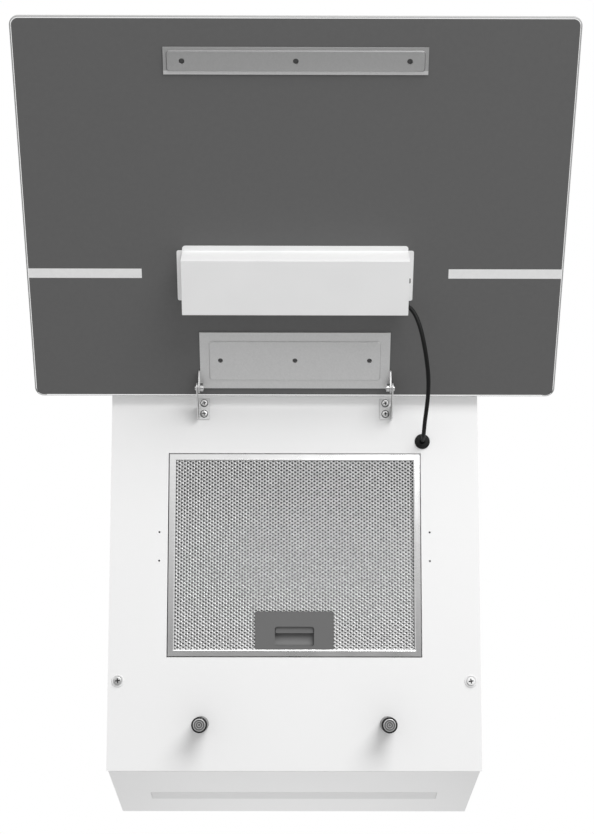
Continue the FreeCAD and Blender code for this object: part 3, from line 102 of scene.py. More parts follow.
# Axes of the panel and of the open door
def axes(origin, up, out):
    """A matrix whose columns are across, up, out and the origin."""
    across = up.cross(out)
    matrix = Matrix((across, up, out)).transposed().to_4x4()
    matrix.translation = origin
    return matrix


def corners_of(spots):
    """Lowest and highest corner of the box that holds some places."""
    return [Vector([pick(spot[i] for spot in spots) for i in range(3)]) for pick in (min, max)]


def spots_of(node, place):
    """The vertices of a CAD node in a tilted set of axes."""
    inverse = place.inverted()
    return [inverse @ vert.co for vert in NODES[node].data.vertices]


def local_box(node, place):
    """Lowest and highest corner of a CAD node in a tilted set of axes."""
    return corners_of(spots_of(node, place))


def panel_axes():
    """Axes of the front panel, from its lower edge and its face."""
    up = Vector(JOINTS["latch_travel"]["axis"])
    out = Vector((1, 0, 0)).cross(up)
    at_pivot = axes(Vector(JOINTS["door_hinge"]["pos_m"]), up, out)
    low, high = local_box("front_panel", at_pivot)
    return axes(at_pivot @ Vector((0, low.y, high.z)), up, out)


def door_axes(panel):
    """Axes of the open door, from its hinge edge and its printed back."""
    swing = math.radians(JOINTS["door_hinge"]["range_deg"][1])
    back = Matrix.Rotation(-swing, 3, "X") @ panel.to_3x3()
    up, out = -back.col[1], -back.col[2]
    at_pivot = axes(Vector(JOINTS["door_hinge"]["pos_m"]), up, out)
    glass_low = local_box("glass_panel", at_pivot)[0]
    coat_high = local_box("back_coating", at_pivot)[1]
    return axes(at_pivot @ Vector((0, glass_low.y, coat_high.z)), up, out)


PANEL = panel_axes()
DOOR = door_axes(PANEL)


def length(name, description, millimetres):
    """A size that a user may change."""
    return FloatProperty(name=name, description=description, default=millimetres * MM, unit="LENGTH")


def colour(name, description, code):
    """A colour that a user may change."""
    return FloatVectorProperty(
        name=name, description=description, default=linear(code), size=4, subtype="COLOR")


class HoodSizes(bpy.types.PropertyGroup):
    """Sizes of the details, over those that the frame sets."""
    sheet_edge: length("Sheet edge", "Rounding of folded sheet edges", 0.5)
    fine_edge: length("Fine edge", "Rounding of small metal parts", 0.25)
    glass_corner: length("Glass corner", "Radius of the door's corners", 10.0)
    glass_edge: length("Glass edge", "Ground bevel round the door's rim", 1.3)
    hinge_line: length("Hinge line", "Width of the bright line at the hinge side of the glass", 1.1)
    keeper_rim: length("Keeper rim", "Width of the keeper's rim towards the hinge", 4.2)
    base_corner: length("Base corner", "Corner radius of the control box's base", 3.5)
    frame_face: length("Frame face", "Width of the filter frame's face", 8.0)
    frame_lip: length("Frame lip", "Width of the lip inside the filter frame", 1.2)
    frame_fold: length("Frame fold", "Width of the folds along the filter frame", 0.3)
    mesh_across: length("Mesh across", "Long way of one mesh diamond", 6.38)
    mesh_up: length("Mesh up", "Short way of one mesh diamond", 4.19)
    mesh_strand: length("Mesh strand", "Width of one strand of the mesh", 1.34)
    mesh_foil: length("Mesh foil", "Thickness of the expanded foil", 0.35)
    scoop_corner: length("Scoop corner", "Corner radius of the handle's finger cup", 3.0)
    stud_groove: length("Stud groove", "Depth of the grooves in the stud faces", 1.3)


class HoodColours(bpy.types.PropertyGroup):
    """Colours of the finishes."""
    casing: colour("Casing", "White powder coat", "f1f1f1")
    back_print: colour("Back print", "Grey enamel on the back of the glass", "646464")
    stripe: colour("Stripe", "Light stripes in the print", "efefef")
    zinc: colour("Zinc", "Zinc coated sheet", "c8c8c8")
    handle: colour("Handle", "Moulded filter handle", "666666")


# Mesh helpers
def merged(node):
    """A copy of a CAD node's mesh, with its loose triangles joined."""
    mesh = bmesh.new()
    mesh.from_mesh(NODES[node].data)
    bmesh.ops.remove_doubles(mesh, verts=mesh.verts, dist=MERGE)
    return mesh


def block(low, high):
    """A block from its lowest and highest corner."""
    mesh = bmesh.new()
    size = Vector(high) - Vector(low)
    middle = (Vector(high) + Vector(low)) / 2
    bmesh.ops.create_cube(mesh, size=1, matrix=Matrix.Translation(middle) @ Matrix.Diagonal((*size, 1)))
    return mesh


def round_over(mesh, edges, width, segments):
    """Round some edges of a mesh."""
    bmesh.ops.bevel(
        mesh, geom=edges, offset=width, offset_type="OFFSET", affect="EDGES",
        segments=segments, profile=0.5, material=-1)


def lathe(profile, steps=48):
    """A round about Z from pairs of radius and height."""
    mesh = bmesh.new()
    verts = [mesh.verts.new((radius, 0, height)) for radius, height in profile]
    edges = [mesh.edges.new(pair) for pair in zip(verts, verts[1:])]
    bmesh.ops.spin(
        mesh, geom=verts + edges, cent=(0, 0, 0), axis=(0, 0, 1), angle=math.tau,
        steps=steps, use_merge=True)
    bmesh.ops.remove_doubles(mesh, verts=mesh.verts, dist=MERGE / 2)
    bmesh.ops.recalc_face_normals(mesh, faces=mesh.faces)
    return mesh


def outline_sheet(points, rounds, thickness):
    """A thin sheet from its outline, with a radius for each of its rounded corners."""
    mesh = bmesh.new()
    verts = [mesh.verts.new((x, y, 0)) for x, y in points]
    mesh.faces.new(verts)
    for radius in sorted(set(rounds.values())):
        bmesh.ops.bevel(
            mesh, geom=[verts[i] for i in rounds if rounds[i] == radius], offset=radius,
            offset_type="OFFSET", affect="VERTICES", segments=10, profile=0.5, material=-1)
    made = bmesh.ops.extrude_face_region(mesh, geom=mesh.faces[:])
    top = [item for item in made["geom"] if isinstance(item, bmesh.types.BMVert)]
    bmesh.ops.translate(mesh, verts=top, vec=(0, 0, thickness))
    bmesh.ops.recalc_face_normals(mesh, faces=mesh.faces)
    return mesh


def add_to(mesh, other, place=None):
    """Join another mesh to this one, moved by a matrix."""
    if place is not None:
        other.transform(place)
    spare = bpy.data.meshes.new("spare")
    other.to_mesh(spare)
    other.free()
    mesh.from_mesh(spare)
    bpy.data.meshes.remove(spare)


def new_object(name, data):
    """An object that is in the scene."""
    item = bpy.data.objects.new(name, data)
    bpy.context.scene.collection.objects.link(item)
    return item


def finished_mesh(item):
    """An object's mesh with its modifiers in it."""
    bpy.context.view_layer.update()
    return bpy.data.meshes.new_from_object(item.evaluated_get(bpy.context.evaluated_depsgraph_get()))


def smooth_shade(data, sharper=SMOOTH):
    """Shade a mesh smooth, but for its edges over an angle."""
    data.polygons.foreach_set("use_smooth", [True] * len(data.polygons))
    data.set_sharp_from_angle(angle=sharper)


def make_piece(name, mesh, place, *finishes, sharper=SMOOTH):
    """An object at the origin, with its place in its mesh and a slot for each finish."""
    if place is not None:
        mesh.transform(place)
    data = bpy.data.meshes.new(name)
    mesh.to_mesh(data)
    mesh.free()
    smooth_shade(data, sharper)
    for finish in finishes:
        data.materials.append(FINISHES[finish])
    return new_object(name, data)


def carve(piece, cutter, place, slot=0):
    """Cut a shape out of a closed piece, with the cut faces in one of the piece's slots.

    The piece is still level: the exact solver leaves fine cuts out of a tilted one.
    """
    cutter.transform(place)
    bmesh.ops.recalc_face_normals(cutter, faces=cutter.faces)
    for face in cutter.faces:
        face.material_index = slot
    data = bpy.data.meshes.new("cutter")
    cutter.to_mesh(data)
    cutter.free()
    for finish in piece.data.materials:
        data.materials.append(finish)
    tool = new_object("cutter", data)
    cut = piece.modifiers.new("cut", "BOOLEAN")
    cut.operation = "DIFFERENCE"
    cut.solver = "EXACT"
    cut.object = tool
    old = piece.data
    piece.data = finished_mesh(piece)
    piece.modifiers.remove(cut)
    bpy.data.meshes.remove(old)
    bpy.data.objects.remove(tool)
    bpy.data.meshes.remove(data)


def round_edges(piece, width, segments=2):
    """Round the folded or moulded edges of a finished piece."""
    bevel = piece.modifiers.new("edges", "BEVEL")
    bevel.width = width
    bevel.segments = segments
    bevel.limit_method = "ANGLE"
    bevel.angle_limit = math.radians(38)
    bevel.harden_normals = True


def go_with(piece, node):
    """The piece rides with a node's body."""
    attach(piece, BODY_OF[node])
    return piece


def stand_for(piece, node):
    """The piece takes the place of a node, too."""
    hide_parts(node)
    return go_with(piece, node)


def rounded_copy(node, width, *finishes, segments=2, change=None, place=None):
    """A node's own shape with its edges rounded, after any change made in a set of axes."""
    mesh = merged(node)
    bmesh.ops.dissolve_limit(mesh, angle_limit=math.radians(0.5), verts=mesh.verts, edges=mesh.edges)
    if change:
        mesh.transform(place.inverted())
        change(mesh)
        mesh.transform(place)
    piece = make_piece(node + "_shell", mesh, None, *finishes)
    round_edges(piece, width, segments)
    return stand_for(piece, node)


def paint(node, finish):
    """Give a CAD node that stays its finish."""
    data = NODES[node].data
    data.materials.clear()
    data.materials.append(FINISHES[finish])


# Material helpers
def add_node(tree, kind, sockets=None, **settings):
    """Add a node, set its options, and set or link its sockets."""
    node = tree.nodes.new(kind)
    for name, value in settings.items():
        setattr(node, name, value)
    for socket, value in (sockets or {}).items():
        if isinstance(value, bpy.types.NodeSocket):
            tree.links.new(value, node.inputs[socket])
        else:
            node.inputs[socket].default_value = value
    return node


def new_material(name):
    """An empty material, its tree, and the place on the object that its patterns read."""
    material = bpy.data.materials.new(name)
    material.use_nodes = True
    tree = material.node_tree
    tree.nodes.clear()
    return material, tree, add_node(tree, "ShaderNodeTexCoord").outputs["Object"]


def surface(tree, sockets):
    """The material's shader and its output."""
    shader = add_node(tree, "ShaderNodeBsdfPrincipled", sockets)
    add_node(tree, "ShaderNodeOutputMaterial", {"Surface": shader.outputs[0]})


def patterned(tree, tones, relief, sheen, looks):
    """A surface whose tone, relief and sheen follow patterns.

    tones is a pattern and its two colours.  relief is a pattern, its depth in millimetres
    and its strength, and sheen a pattern and its two roughnesses: either may be None.
    """
    factor, dark, light = tones
    tint = add_node(tree, "ShaderNodeMix", {"Factor": factor, "A": dark, "B": light}, data_type="RGBA")
    sockets = {"Base Color": tint.outputs["Result"], **looks}
    if relief:
        height, depth, strength = relief
        bump = add_node(
            tree, "ShaderNodeBump", {"Height": height, "Distance": depth * MM, "Strength": strength})
        sockets["Normal"] = bump.outputs["Normal"]
    if sheen:
        value, low, high = sheen
        rough = add_node(tree, "ShaderNodeMapRange", {"Value": value, "To Min": low, "To Max": high})
        sockets["Roughness"] = rough.outputs["Result"]
    surface(tree, sockets)


def per_mm(size):
    """Noise scale that gives features of about this many millimetres."""
    return 1 / (size * MM)


def dimmed(colour, share):
    """A colour times a share."""
    return (colour[0] * share, colour[1] * share, colour[2] * share, 1.0)


def toned(name, dark, light, tone, relief, looks):
    """A material whose tone drifts between two colours, over a fine relief.

    tone is the size in millimetres and the detail of the drift.  relief is the size, the
    detail, the depth in millimetres and the strength of the bump, or None.
    """
    material, tree, place = new_material(name)
    size, detail = tone
    drift = add_node(tree, "ShaderNodeTexNoise", {"Vector": place, "Scale": per_mm(size), "Detail": detail})
    if relief:
        size, detail, depth, strength = relief
        grain = add_node(
            tree, "ShaderNodeTexNoise", {"Vector": place, "Scale": per_mm(size), "Detail": detail})
        relief = (grain.outputs["Fac"], depth, strength)
    patterned(tree, (drift.outputs["Fac"], dark, light), relief, None, looks)
    return material


# Finishes
def powder_coat(name, colour):
    """Polyester powder baked on steel sheet: an even satin with a faint orange peel."""
    return toned(
        name, dimmed(colour, 0.985), colour, (90, 1.0), (1.4, 2.0, 0.02, 0.5),
        {"Roughness": 0.42, "IOR": 1.5})


def zinc_sheet(name, colour, roughness):
    """Hot-dip zinc on steel sheet: small dull spangles and a fine rolled grain."""
    material, tree, place = new_material(name)
    spangle = add_node(
        tree, "ShaderNodeTexVoronoi", {"Vector": place, "Scale": per_mm(1.7), "Randomness": 1.0})
    grain = add_node(tree, "ShaderNodeTexNoise", {"Vector": place, "Scale": per_mm(0.8), "Detail": 4.0})
    both = add_node(
        tree, "ShaderNodeMix",
        {"Factor": 0.45, "A": spangle.outputs["Color"], "B": grain.outputs["Color"]}, data_type="RGBA")
    grey = add_node(tree, "ShaderNodeRGBToBW", {"Color": both.outputs["Result"]}).outputs[0]
    patterned(
        tree, (grey, dimmed(colour, 0.93), dimmed(colour, 1.07)), (grain.outputs["Fac"], 0.03, 0.5),
        (grey, roughness - 0.06, roughness + 0.08), {"Metallic": 0.55})
    return material


def float_glass():
    """Clear toughened glass: sharp reflections over a barely visible ripple."""
    material, tree, place = new_material("float_glass")
    ripple = add_node(tree, "ShaderNodeTexNoise", {"Vector": place, "Scale": per_mm(160), "Detail": 1.0})
    bump = add_node(
        tree, "ShaderNodeBump", {"Height": ripple.outputs["Fac"], "Distance": 0.02 * MM, "Strength": 0.3})
    surface(tree, {
        "Base Color": linear("f2f2f2"), "Roughness": 0.04, "IOR": 1.5, "Transmission Weight": 1.0,
        "Normal": bump.outputs["Normal"]})
    return material


def ground_edge():
    """Ground and polished glass rim: a pale frosted line whose grey is partly painted reflection of the room.
    """
    return toned(
        "ground_glass_edge", linear("a2a2a2"), linear("b0b0b0"), (1.2, 3.0), None,
        {"Roughness": 0.35, "IOR": 1.5})


def painted_glow_edge():
    """Polished glass edge with a faint glow of its own: painted light that shows it brighter than what is
    round it.
    """
    return toned(
        "painted_glow_glass_edge", linear("f0f0f0"), linear("f8f8f8"), (60, 1.0), None,
        {"Roughness": 0.3, "IOR": 1.5, "Emission Color": (1, 1, 1, 1), "Emission Strength": 0.28})


def printed_enamel(name, colour, roughness):
    """Ceramic ink fired on glass: flat and matt, with a faint screen mottle."""
    return toned(
        name, dimmed(colour, 0.95), dimmed(colour, 1.05), (5, 3.0), (0.9, 1.0, 0.01, 0.4),
        {"Roughness": roughness, "Specular IOR Level": 0.25})


def moulded_plastic(name, colour, roughness):
    """Injection moulded plastic: an even tone under a fine spark-eroded texture."""
    return toned(
        name, dimmed(colour, 0.97), dimmed(colour, 1.02), (45, 1.0), (0.5, 3.0, 0.02, 0.6),
        {"Roughness": roughness, "IOR": 1.5})


def opal_pane():
    """Opal acrylic over the lamp: milky, slightly softer than the sheet round it."""
    return toned(
        "opal_acrylic", linear("dcdcdc"), linear("e2e2e2"), (12, 2.0), None,
        {"Roughness": 0.5, "IOR": 1.49})


def drawn_aluminium(name, colour, roughness):
    """Anodised aluminium section: fine die lines across the hood and a satin sheen."""
    material, tree, place = new_material(name)
    stretch = add_node(tree, "ShaderNodeMapping", {"Vector": place, "Scale": (0.04, 1.0, 1.0)})
    lines = add_node(
        tree, "ShaderNodeTexNoise", {"Vector": stretch.outputs[0], "Scale": per_mm(1.5), "Detail": 4.0})
    cloud = add_node(tree, "ShaderNodeTexNoise", {"Vector": place, "Scale": per_mm(28), "Detail": 2.0})
    die = lines.outputs["Fac"]
    patterned(
        tree, (die, dimmed(colour, 0.90), dimmed(colour, 1.06)), (die, 0.01, 0.5),
        (cloud.outputs["Fac"], roughness - 0.08, roughness + 0.10), {"Metallic": 1.0})
    return material


def expanded_metal(name, light, dark):
    """Slit and stretched aluminium foil: its tone drifts at random between dull and bright, partly painted
    glints.
    """
    return toned(
        name, linear(dark), linear(light), (2.4, 4.0), (0.7, 2.0, 0.10, 0.6),
        {"Metallic": 0.7, "Roughness": 0.36})


def soft_rubber(name, colour, roughness):
    """Rubber or soft PVC: nearly black, with a dull bloom."""
    return toned(
        name, colour, dimmed(colour, 1.8), (3, 3.0), None,
        {"Roughness": roughness, "IOR": 1.5, "Specular IOR Level": 0.2})


def turned_steel(name, colour, roughness):
    """Turned, cast or cold headed bare metal: a fine blurred sheen."""
    return toned(
        name, dimmed(colour, 0.85), dimmed(colour, 1.1), (0.6, 3.0), (0.6, 3.0, 0.01, 0.5),
        {"Metallic": 1.0, "Roughness": roughness})


def make_finishes():
    """Every finish of the hood, each under a short name."""
    colours = bpy.context.scene.hood_colours
    FINISHES.update({
        "casing": powder_coat("powder_coated_steel", colours.casing),
        "zinc": zinc_sheet("zinc_coated_sheet", dimmed(colours.zinc, 1.12), 0.46),
        "bracket": zinc_sheet("zinc_plated_bracket", dimmed(colours.zinc, 1.3), 0.4),
        # A darker copy of the bracket's zinc: painted shade on the brackets' sides
        "bracket_side": zinc_sheet("zinc_plated_bracket_painted_shade", dimmed(colours.zinc, 0.42), 0.5),
        "keeper": zinc_sheet("zinc_coated_keeper", dimmed(colours.zinc, 0.75), 0.46),
        # Lighter and darker copies of the keeper's zinc: painted highlight on its rim, painted shade on its
        # slopes
        "keeper_rim": zinc_sheet("zinc_painted_highlight", dimmed(colours.zinc, 1.18), 0.40),
        "keeper_fold": zinc_sheet("zinc_painted_shade", dimmed(colours.zinc, 0.45), 0.55),
        "glass": float_glass(),
        "ground_edge": ground_edge(),
        "painted_glow_line": painted_glow_edge(),
        "back_print": printed_enamel("grey_ceramic_print", colours.back_print, 0.62),
        "front_print": printed_enamel("white_ceramic_print", linear("f6f6f6"), 0.5),
        "stripe": printed_enamel("light_ceramic_print", colours.stripe, 0.5),
        "control": moulded_plastic("light_grey_abs", linear("f4f4f4"), 0.38),
        "pane": opal_pane(),
        "section": drawn_aluminium("anodised_section", linear("e6e6e6"), 0.28),
        "mesh": expanded_metal("expanded_aluminium", "f6f6f6", "989898"),
        # A darker copy of the foil for the layer behind: painted shade
        "mesh_behind_shaded": expanded_metal("expanded_aluminium_painted_shade", "c4c4c4", "7c7c7c"),
        # Aluminium layers made near black: painted shade in the depth of the filter
        "core": expanded_metal("filter_pack", "4a4a4a", "303030"),
        "handle": moulded_plastic("dark_grey_abs", colours.handle, 0.5),
        "rubber": soft_rubber("black_rubber", linear("131313"), 0.6),
        "stud_rubber": soft_rubber("worn_black_rubber", linear("1c1c1c"), 0.6),
        "cable": soft_rubber("black_pvc", linear("0e0e0e"), 0.5),
        "barrel": moulded_plastic("grey_nylon", linear("747474"), 0.45),
        "steel": turned_steel("zinc_plated_steel", linear("d6d6d6"), 0.3),
        "screw_zinc": turned_steel("dull_zinc_screw", linear("cacaca"), 0.5),
        "bright_screw": turned_steel("bright_zinc_screw", linear("f0f0f0"), 0.45),
        "magnet": turned_steel("turned_steel", linear("dcdcdc"), 0.3),
        # Near black, made with the rubber shader: painted shade in screw recesses, round screw heads and in
        # the tab's slot
        "groove": soft_rubber("unlit_groove", linear("404040"), 0.7),
        # A darker copy of the turned steel: painted shade in the stud grooves
        "turned_groove": turned_steel("turned_groove", linear("8c8c8c"), 0.5),
        "fan": moulded_plastic("grey_polypropylene", linear("6c6e70"), 0.45),
        "motor": turned_steel("cast_aluminium", linear("a8a9aa"), 0.5),
        "board_green": moulded_plastic("green_circuit_board", linear("2a6a3a"), 0.4),
        "board_white": moulded_plastic("white_circuit_board", linear("e6e6e2"), 0.4),
        "nylon": moulded_plastic("black_nylon", linear("2b2b2d"), 0.45),
    })


# Pieces
class HOOD_OT_casing(bpy.types.Operator):
    """Round the folded edges of the sheet casing and coat it"""
    bl_idname = "hood.casing"
    bl_label = "Casing"

    def execute(self, context):
        edge = context.scene.hood_sizes.sheet_edge
        for node in ("front_panel", "side_panel_left", "side_panel_right", "bottom_panel", "top_panel"):
            rounded_copy(node, edge, "casing")
        rounded_copy("rear_panel", edge, "zinc")
        rounded_copy("filter_seat", edge / 2, "casing")
        paint("wall_rails", "zinc")
        return {"FINISHED"}


class HOOD_OT_lamp(bpy.types.Operator):
    """Fit the opal pane in the underside and finish what lies behind it"""
    bl_idname = "hood.lamp"
    bl_label = "Lamp"

    def execute(self, context):
        rounded_copy("lamp_diffuser", context.scene.hood_sizes.fine_edge, "pane")
        paint("lamp_housing", "control")
        paint("led_board", "board_white")
        return {"FINISHED"}


class HOOD_OT_glass_door(bpy.types.Operator):
    """Grind the glass, and print its back in grey with two light stripes"""
    bl_idname = "hood.glass_door"
    bl_label = "Glass Door"

    def execute(self, context):
        sizes = context.scene.hood_sizes
        low, high = local_box("glass_panel", DOOR)
        slab = block(low, high)
        upright = [edge for edge in slab.edges if (edge.verts[0].co - edge.verts[1].co).xy.length < MERGE]
        round_over(slab, upright, sizes.glass_corner, segments=16)
        rim = [edge for edge in slab.edges if edge.calc_face_angle(0) > math.radians(40)]
        round_over(slab, rim, sizes.glass_edge, segments=3)
        for face in slab.faces:
            flat = abs(face.normal.z) > 0.999
            hinge_side = face.normal.y < -0.5
            face.material_index = int(not flat and not hinge_side)
        stand_for(make_piece("door_glass", slab, DOOR, "glass", "ground_edge"), "glass_panel")

        low, high = local_box("back_coating", DOOR)
        stripe_low, stripe_high = local_box("decor_stripes", DOOR)
        inner = self.stripe_inner_end()
        layer = (high.z - low.z) / 2
        corner = sizes.glass_corner * 0.75
        left, right, base, top = low.x, high.x, low.y, high.y
        notched = [
            (left, base), (right, base), (right, stripe_low.y), (inner, stripe_low.y),
            (inner, stripe_high.y), (right, stripe_high.y), (right, top), (left, top),
            (left, stripe_high.y), (-inner, stripe_high.y), (-inner, stripe_low.y), (left, stripe_low.y)]
        grey = outline_sheet(notched, dict.fromkeys((0, 1, 6, 7), corner), layer)
        grey_place = DOOR @ Matrix.Translation((0, 0, high.z - layer))
        stand_for(make_piece("grey_back_print", grey, grey_place, "back_print"), "back_coating")

        plain = [(left, base), (right, base), (right, top), (left, top)]
        white = outline_sheet(plain, dict.fromkeys(range(4), corner), layer)
        white_place = DOOR @ Matrix.Translation((0, 0, low.z))
        # A strip along the hinge side that glows faintly: painted light standing for the bright polished edge
        start = Vector((left + 1.5 * corner, base - sizes.hinge_line, high.z - layer))
        line = block(start, (-start.x, base - 0.05 * MM, high.z))
        go_with(make_piece("hinge_side_glow_line", line, DOOR, "painted_glow_line"), "back_coating")
        go_with(make_piece("white_front_print", white, white_place, "front_print"), "back_coating")

        stripes = bmesh.new()
        for start, end in ((left, -inner), (inner, right)):
            add_to(stripes, block((start, stripe_low.y, low.z + layer), (end, stripe_high.y, high.z)))
        stand_for(make_piece("light_stripes", stripes, DOOR, "stripe"), "decor_stripes")
        return {"FINISHED"}

    def stripe_inner_end(self):
        """How far from the middle the stripes start."""
        return min(abs(spot.x) for spot in spots_of("decor_stripes", DOOR))


class HOOD_OT_door_plates(bpy.types.Operator):
    """Press the keeper and hinge plates with their fields, rims and holes"""
    bl_idname = "hood.door_plates"
    bl_label = "Door Plates"

    def execute(self, context):
        sizes = context.scene.hood_sizes
        rounded_copy(
            "keeper_plate", sizes.fine_edge, "keeper", "keeper_rim", "keeper_fold", segments=3,
            change=self.mark_rim, place=DOOR)
        rounded_copy("hinge_plate", sizes.fine_edge, "zinc", segments=3)
        return {"FINISHED"}

    def mark_rim(self, mesh):
        """Paint a highlight on the keeper's rim towards the hinge, and paint shade on the sloped sides of its
        field.
        """
        low, high = local_box("keeper_plate", DOOR)
        rim = low.y + bpy.context.scene.hood_sizes.keeper_rim
        sheet = 1.2 * MM
        bmesh.ops.bisect_plane(
            mesh, geom=mesh.verts[:] + mesh.edges[:] + mesh.faces[:], dist=MERGE / 2,
            plane_co=(0, rim, 0), plane_no=(0, 1, 0))
        mesh.normal_update()
        for face in mesh.faces:
            spot = face.calc_center_median()
            tilt = abs(face.normal.z)
            in_hole = len(face.verts) == 4 and tilt < 0.01 and spot.z < sheet * 1.2
            side = sheet < spot.z < high.z - 0.01 * MM and 0.01 < tilt < 0.95
            # Rim faces take the painted highlight, the field's sloped sides the painted shade
            if spot.y < rim and face.normal.z > 0.1:
                face.material_index = 1
            elif side and not in_hole:
                face.material_index = 2


class HOOD_OT_control_box(bpy.types.Operator):
    """Mould the touch control's cover and base"""
    bl_idname = "hood.control_box"
    bl_label = "Control Box"

    def execute(self, context):
        sizes = context.scene.hood_sizes
        rounded_copy("control_cover", sizes.sheet_edge * 0.9, "control", segments=3)
        self.base(sizes)
        paint("touch_sensor", "nylon")
        paint("control_board", "board_green")
        return {"FINISHED"}

    def base(self, sizes):
        """The base plate: a flange over the cover's far side and a round-cornered tab at each end."""
        low, high = local_box("control_base", DOOR)
        spots = spots_of("control_base", DOOR)
        tab_ends = [spot.y for spot in spots if abs(spot.x) > high.x - 0.05 * MM]
        tab_low, tab_high = min(tab_ends), max(tab_ends)
        cover = local_box("control_cover", DOOR)[1]
        sheet = high.z - low.z
        corner = sizes.base_corner
        outline = [
            (-cover.x, low.y), (cover.x, low.y), (cover.x, tab_low), (high.x, tab_low),
            (high.x, tab_high), (cover.x, tab_high), (cover.x, high.y), (-cover.x, high.y),
            (-cover.x, tab_high), (low.x, tab_high), (low.x, tab_low), (-cover.x, tab_low)]
        rounds = {6: corner, 7: corner, **dict.fromkeys((3, 4, 9, 10), corner * 0.65)}
        plate = outline_sheet(outline, rounds, sheet)
        piece = make_piece("moulded_base", plate, None, "control", "groove")
        # The slot's cut faces take the near-black finish: painted shade inside the slot
        carve(piece, self.tab_slot(cover.x, 4 * sheet), Matrix.Translation((0, 0, -sheet)), slot=1)
        piece.data.transform(DOOR)
        round_edges(piece, sizes.fine_edge)
        stand_for(piece, "control_base")

    def tab_slot(self, cover_end, depth):
        """The cutter of the slot in the tab at the cable's end."""
        half_wide, half_long, middle = 1.1 * MM, 3.0 * MM, 144.5 * MM
        across = cover_end + 2.4 * MM
        return outline_sheet([
            (across - half_wide, middle - half_long), (across + half_wide, middle - half_long),
            (across + half_wide, middle + half_long), (across - half_wide, middle + half_long)],
            dict.fromkeys(range(4), 1.0 * MM), depth)


class HOOD_OT_filter_frame(bpy.types.Operator):
    """Mitre the filter's rolled frame"""
    bl_idname = "hood.filter_frame"
    bl_label = "Filter Frame"

    def execute(self, context):
        low, high = local_box("filter_frame", PANEL)
        rise = high.z
        sizes = context.scene.hood_sizes
        lip, fold = sizes.frame_lip, sizes.frame_fold
        mesh = bmesh.new()
        ring = [(low.x, low.y), (high.x, low.y), (high.x, high.y), (low.x, high.y)]
        face = mesh.faces.new([mesh.verts.new((x, y, 0)) for x, y in ring])
        outer = face.edges[:]
        # Inwards and out from the panel: a fold, the face, a fold, the lip and the drop to the mesh
        steps = [
            (fold, fold * 0.8), (sizes.frame_face - lip - 3 * fold, rise - fold * 1.1), (fold, fold * 0.3),
            (lip, -lip * 0.45), (fold, lip * 0.45 - fold - rise)]
        for inset, lift in steps:
            bmesh.ops.inset_region(
                mesh, faces=[face], thickness=inset, depth=0, use_boundary=True, use_even_offset=True)
            bmesh.ops.translate(mesh, verts=face.verts[:], vec=(0, 0, lift))
        inner = face.edges[:]
        mesh.faces.remove(face)
        bottoms = []
        for edges in (outer, inner):
            made = bmesh.ops.extrude_edge_only(mesh, edges=edges)
            verts = [item for item in made["geom"] if isinstance(item, bmesh.types.BMVert)]
            for vert in verts:
                vert.co.z = low.z
            bottoms += [item for item in made["geom"] if isinstance(item, bmesh.types.BMEdge)]
        bmesh.ops.bridge_loops(mesh, edges=bottoms)
        bmesh.ops.recalc_face_normals(mesh, faces=mesh.faces)
        mitred = make_piece("mitred_filter_frame", mesh, PANEL, "section", sharper=math.radians(20))
        stand_for(mitred, "filter_frame")
        return {"FINISHED"}


def mesh_cell(across, up, strand, foil):
    """One diamond of expanded metal about its hole, domed between its rim and the hole."""
    mesh = bmesh.new()
    rings = []
    strand_up = strand * up / across
    # The strand stands out most along its middle and at its lower tip
    for share, lift in ((0.0, 0.0), (0.5, foil), (1.0, foil * 0.35)):
        wide = across / 2 - strand * share
        tall = up / 2 - strand_up * share
        tips = ((wide, 0, lift * 0.6), (0, tall, lift), (-wide, 0, lift * 0.6), (0, -tall, lift * 1.6))
        rings.append([mesh.verts.new(tip) for tip in tips])
    rings.append([mesh.verts.new((vert.co.x, vert.co.y, -foil)) for vert in rings[-1]])
    for outer, inner in zip(rings, rings[1:]):
        for i in range(4):
            mesh.faces.new((outer[i], outer[(i + 1) % 4], inner[(i + 1) % 4], inner[i]))
    return mesh


def mesh_sheet(low, high, across, up, strand, foil, keep):
    """Rows of cells, every other row shifted by half a cell, where keep(x, y) says so."""
    unit = mesh_cell(across, up, strand, foil)
    add_to(unit, mesh_cell(across, up, strand, foil), Matrix.Translation((across / 2, up / 2, 0)))
    data = bpy.data.meshes.new("cells")
    cell_verts = len(unit.verts) // 2
    unit.to_mesh(data)
    unit.free()
    cells = new_object("cells", data)
    for step, reach in (((across, 0, 0), high.x - low.x), ((0, up, 0), high.y - low.y)):
        array = cells.modifiers.new("rows", "ARRAY")
        array.use_relative_offset = False
        array.use_constant_offset = True
        array.constant_offset_displace = step
        array.count = int(reach / max(step)) + 1
    laid = finished_mesh(cells)
    mesh = bmesh.new()
    mesh.from_mesh(laid)
    bpy.data.objects.remove(cells)
    bpy.data.meshes.remove(data)
    bpy.data.meshes.remove(laid)
    bmesh.ops.translate(mesh, verts=mesh.verts, vec=(low.x, low.y, 0))
    mesh.verts.ensure_lookup_table()
    spare = []
    for first in range(0, len(mesh.verts), cell_verts):
        verts = mesh.verts[first:first + cell_verts]
        x = sum(vert.co.x for vert in verts) / cell_verts
        y = sum(vert.co.y for vert in verts) / cell_verts
        if x > high.x or y > high.y or not keep(x, y):
            spare += verts
    bmesh.ops.delete(mesh, geom=spare, context="VERTS")
    return mesh


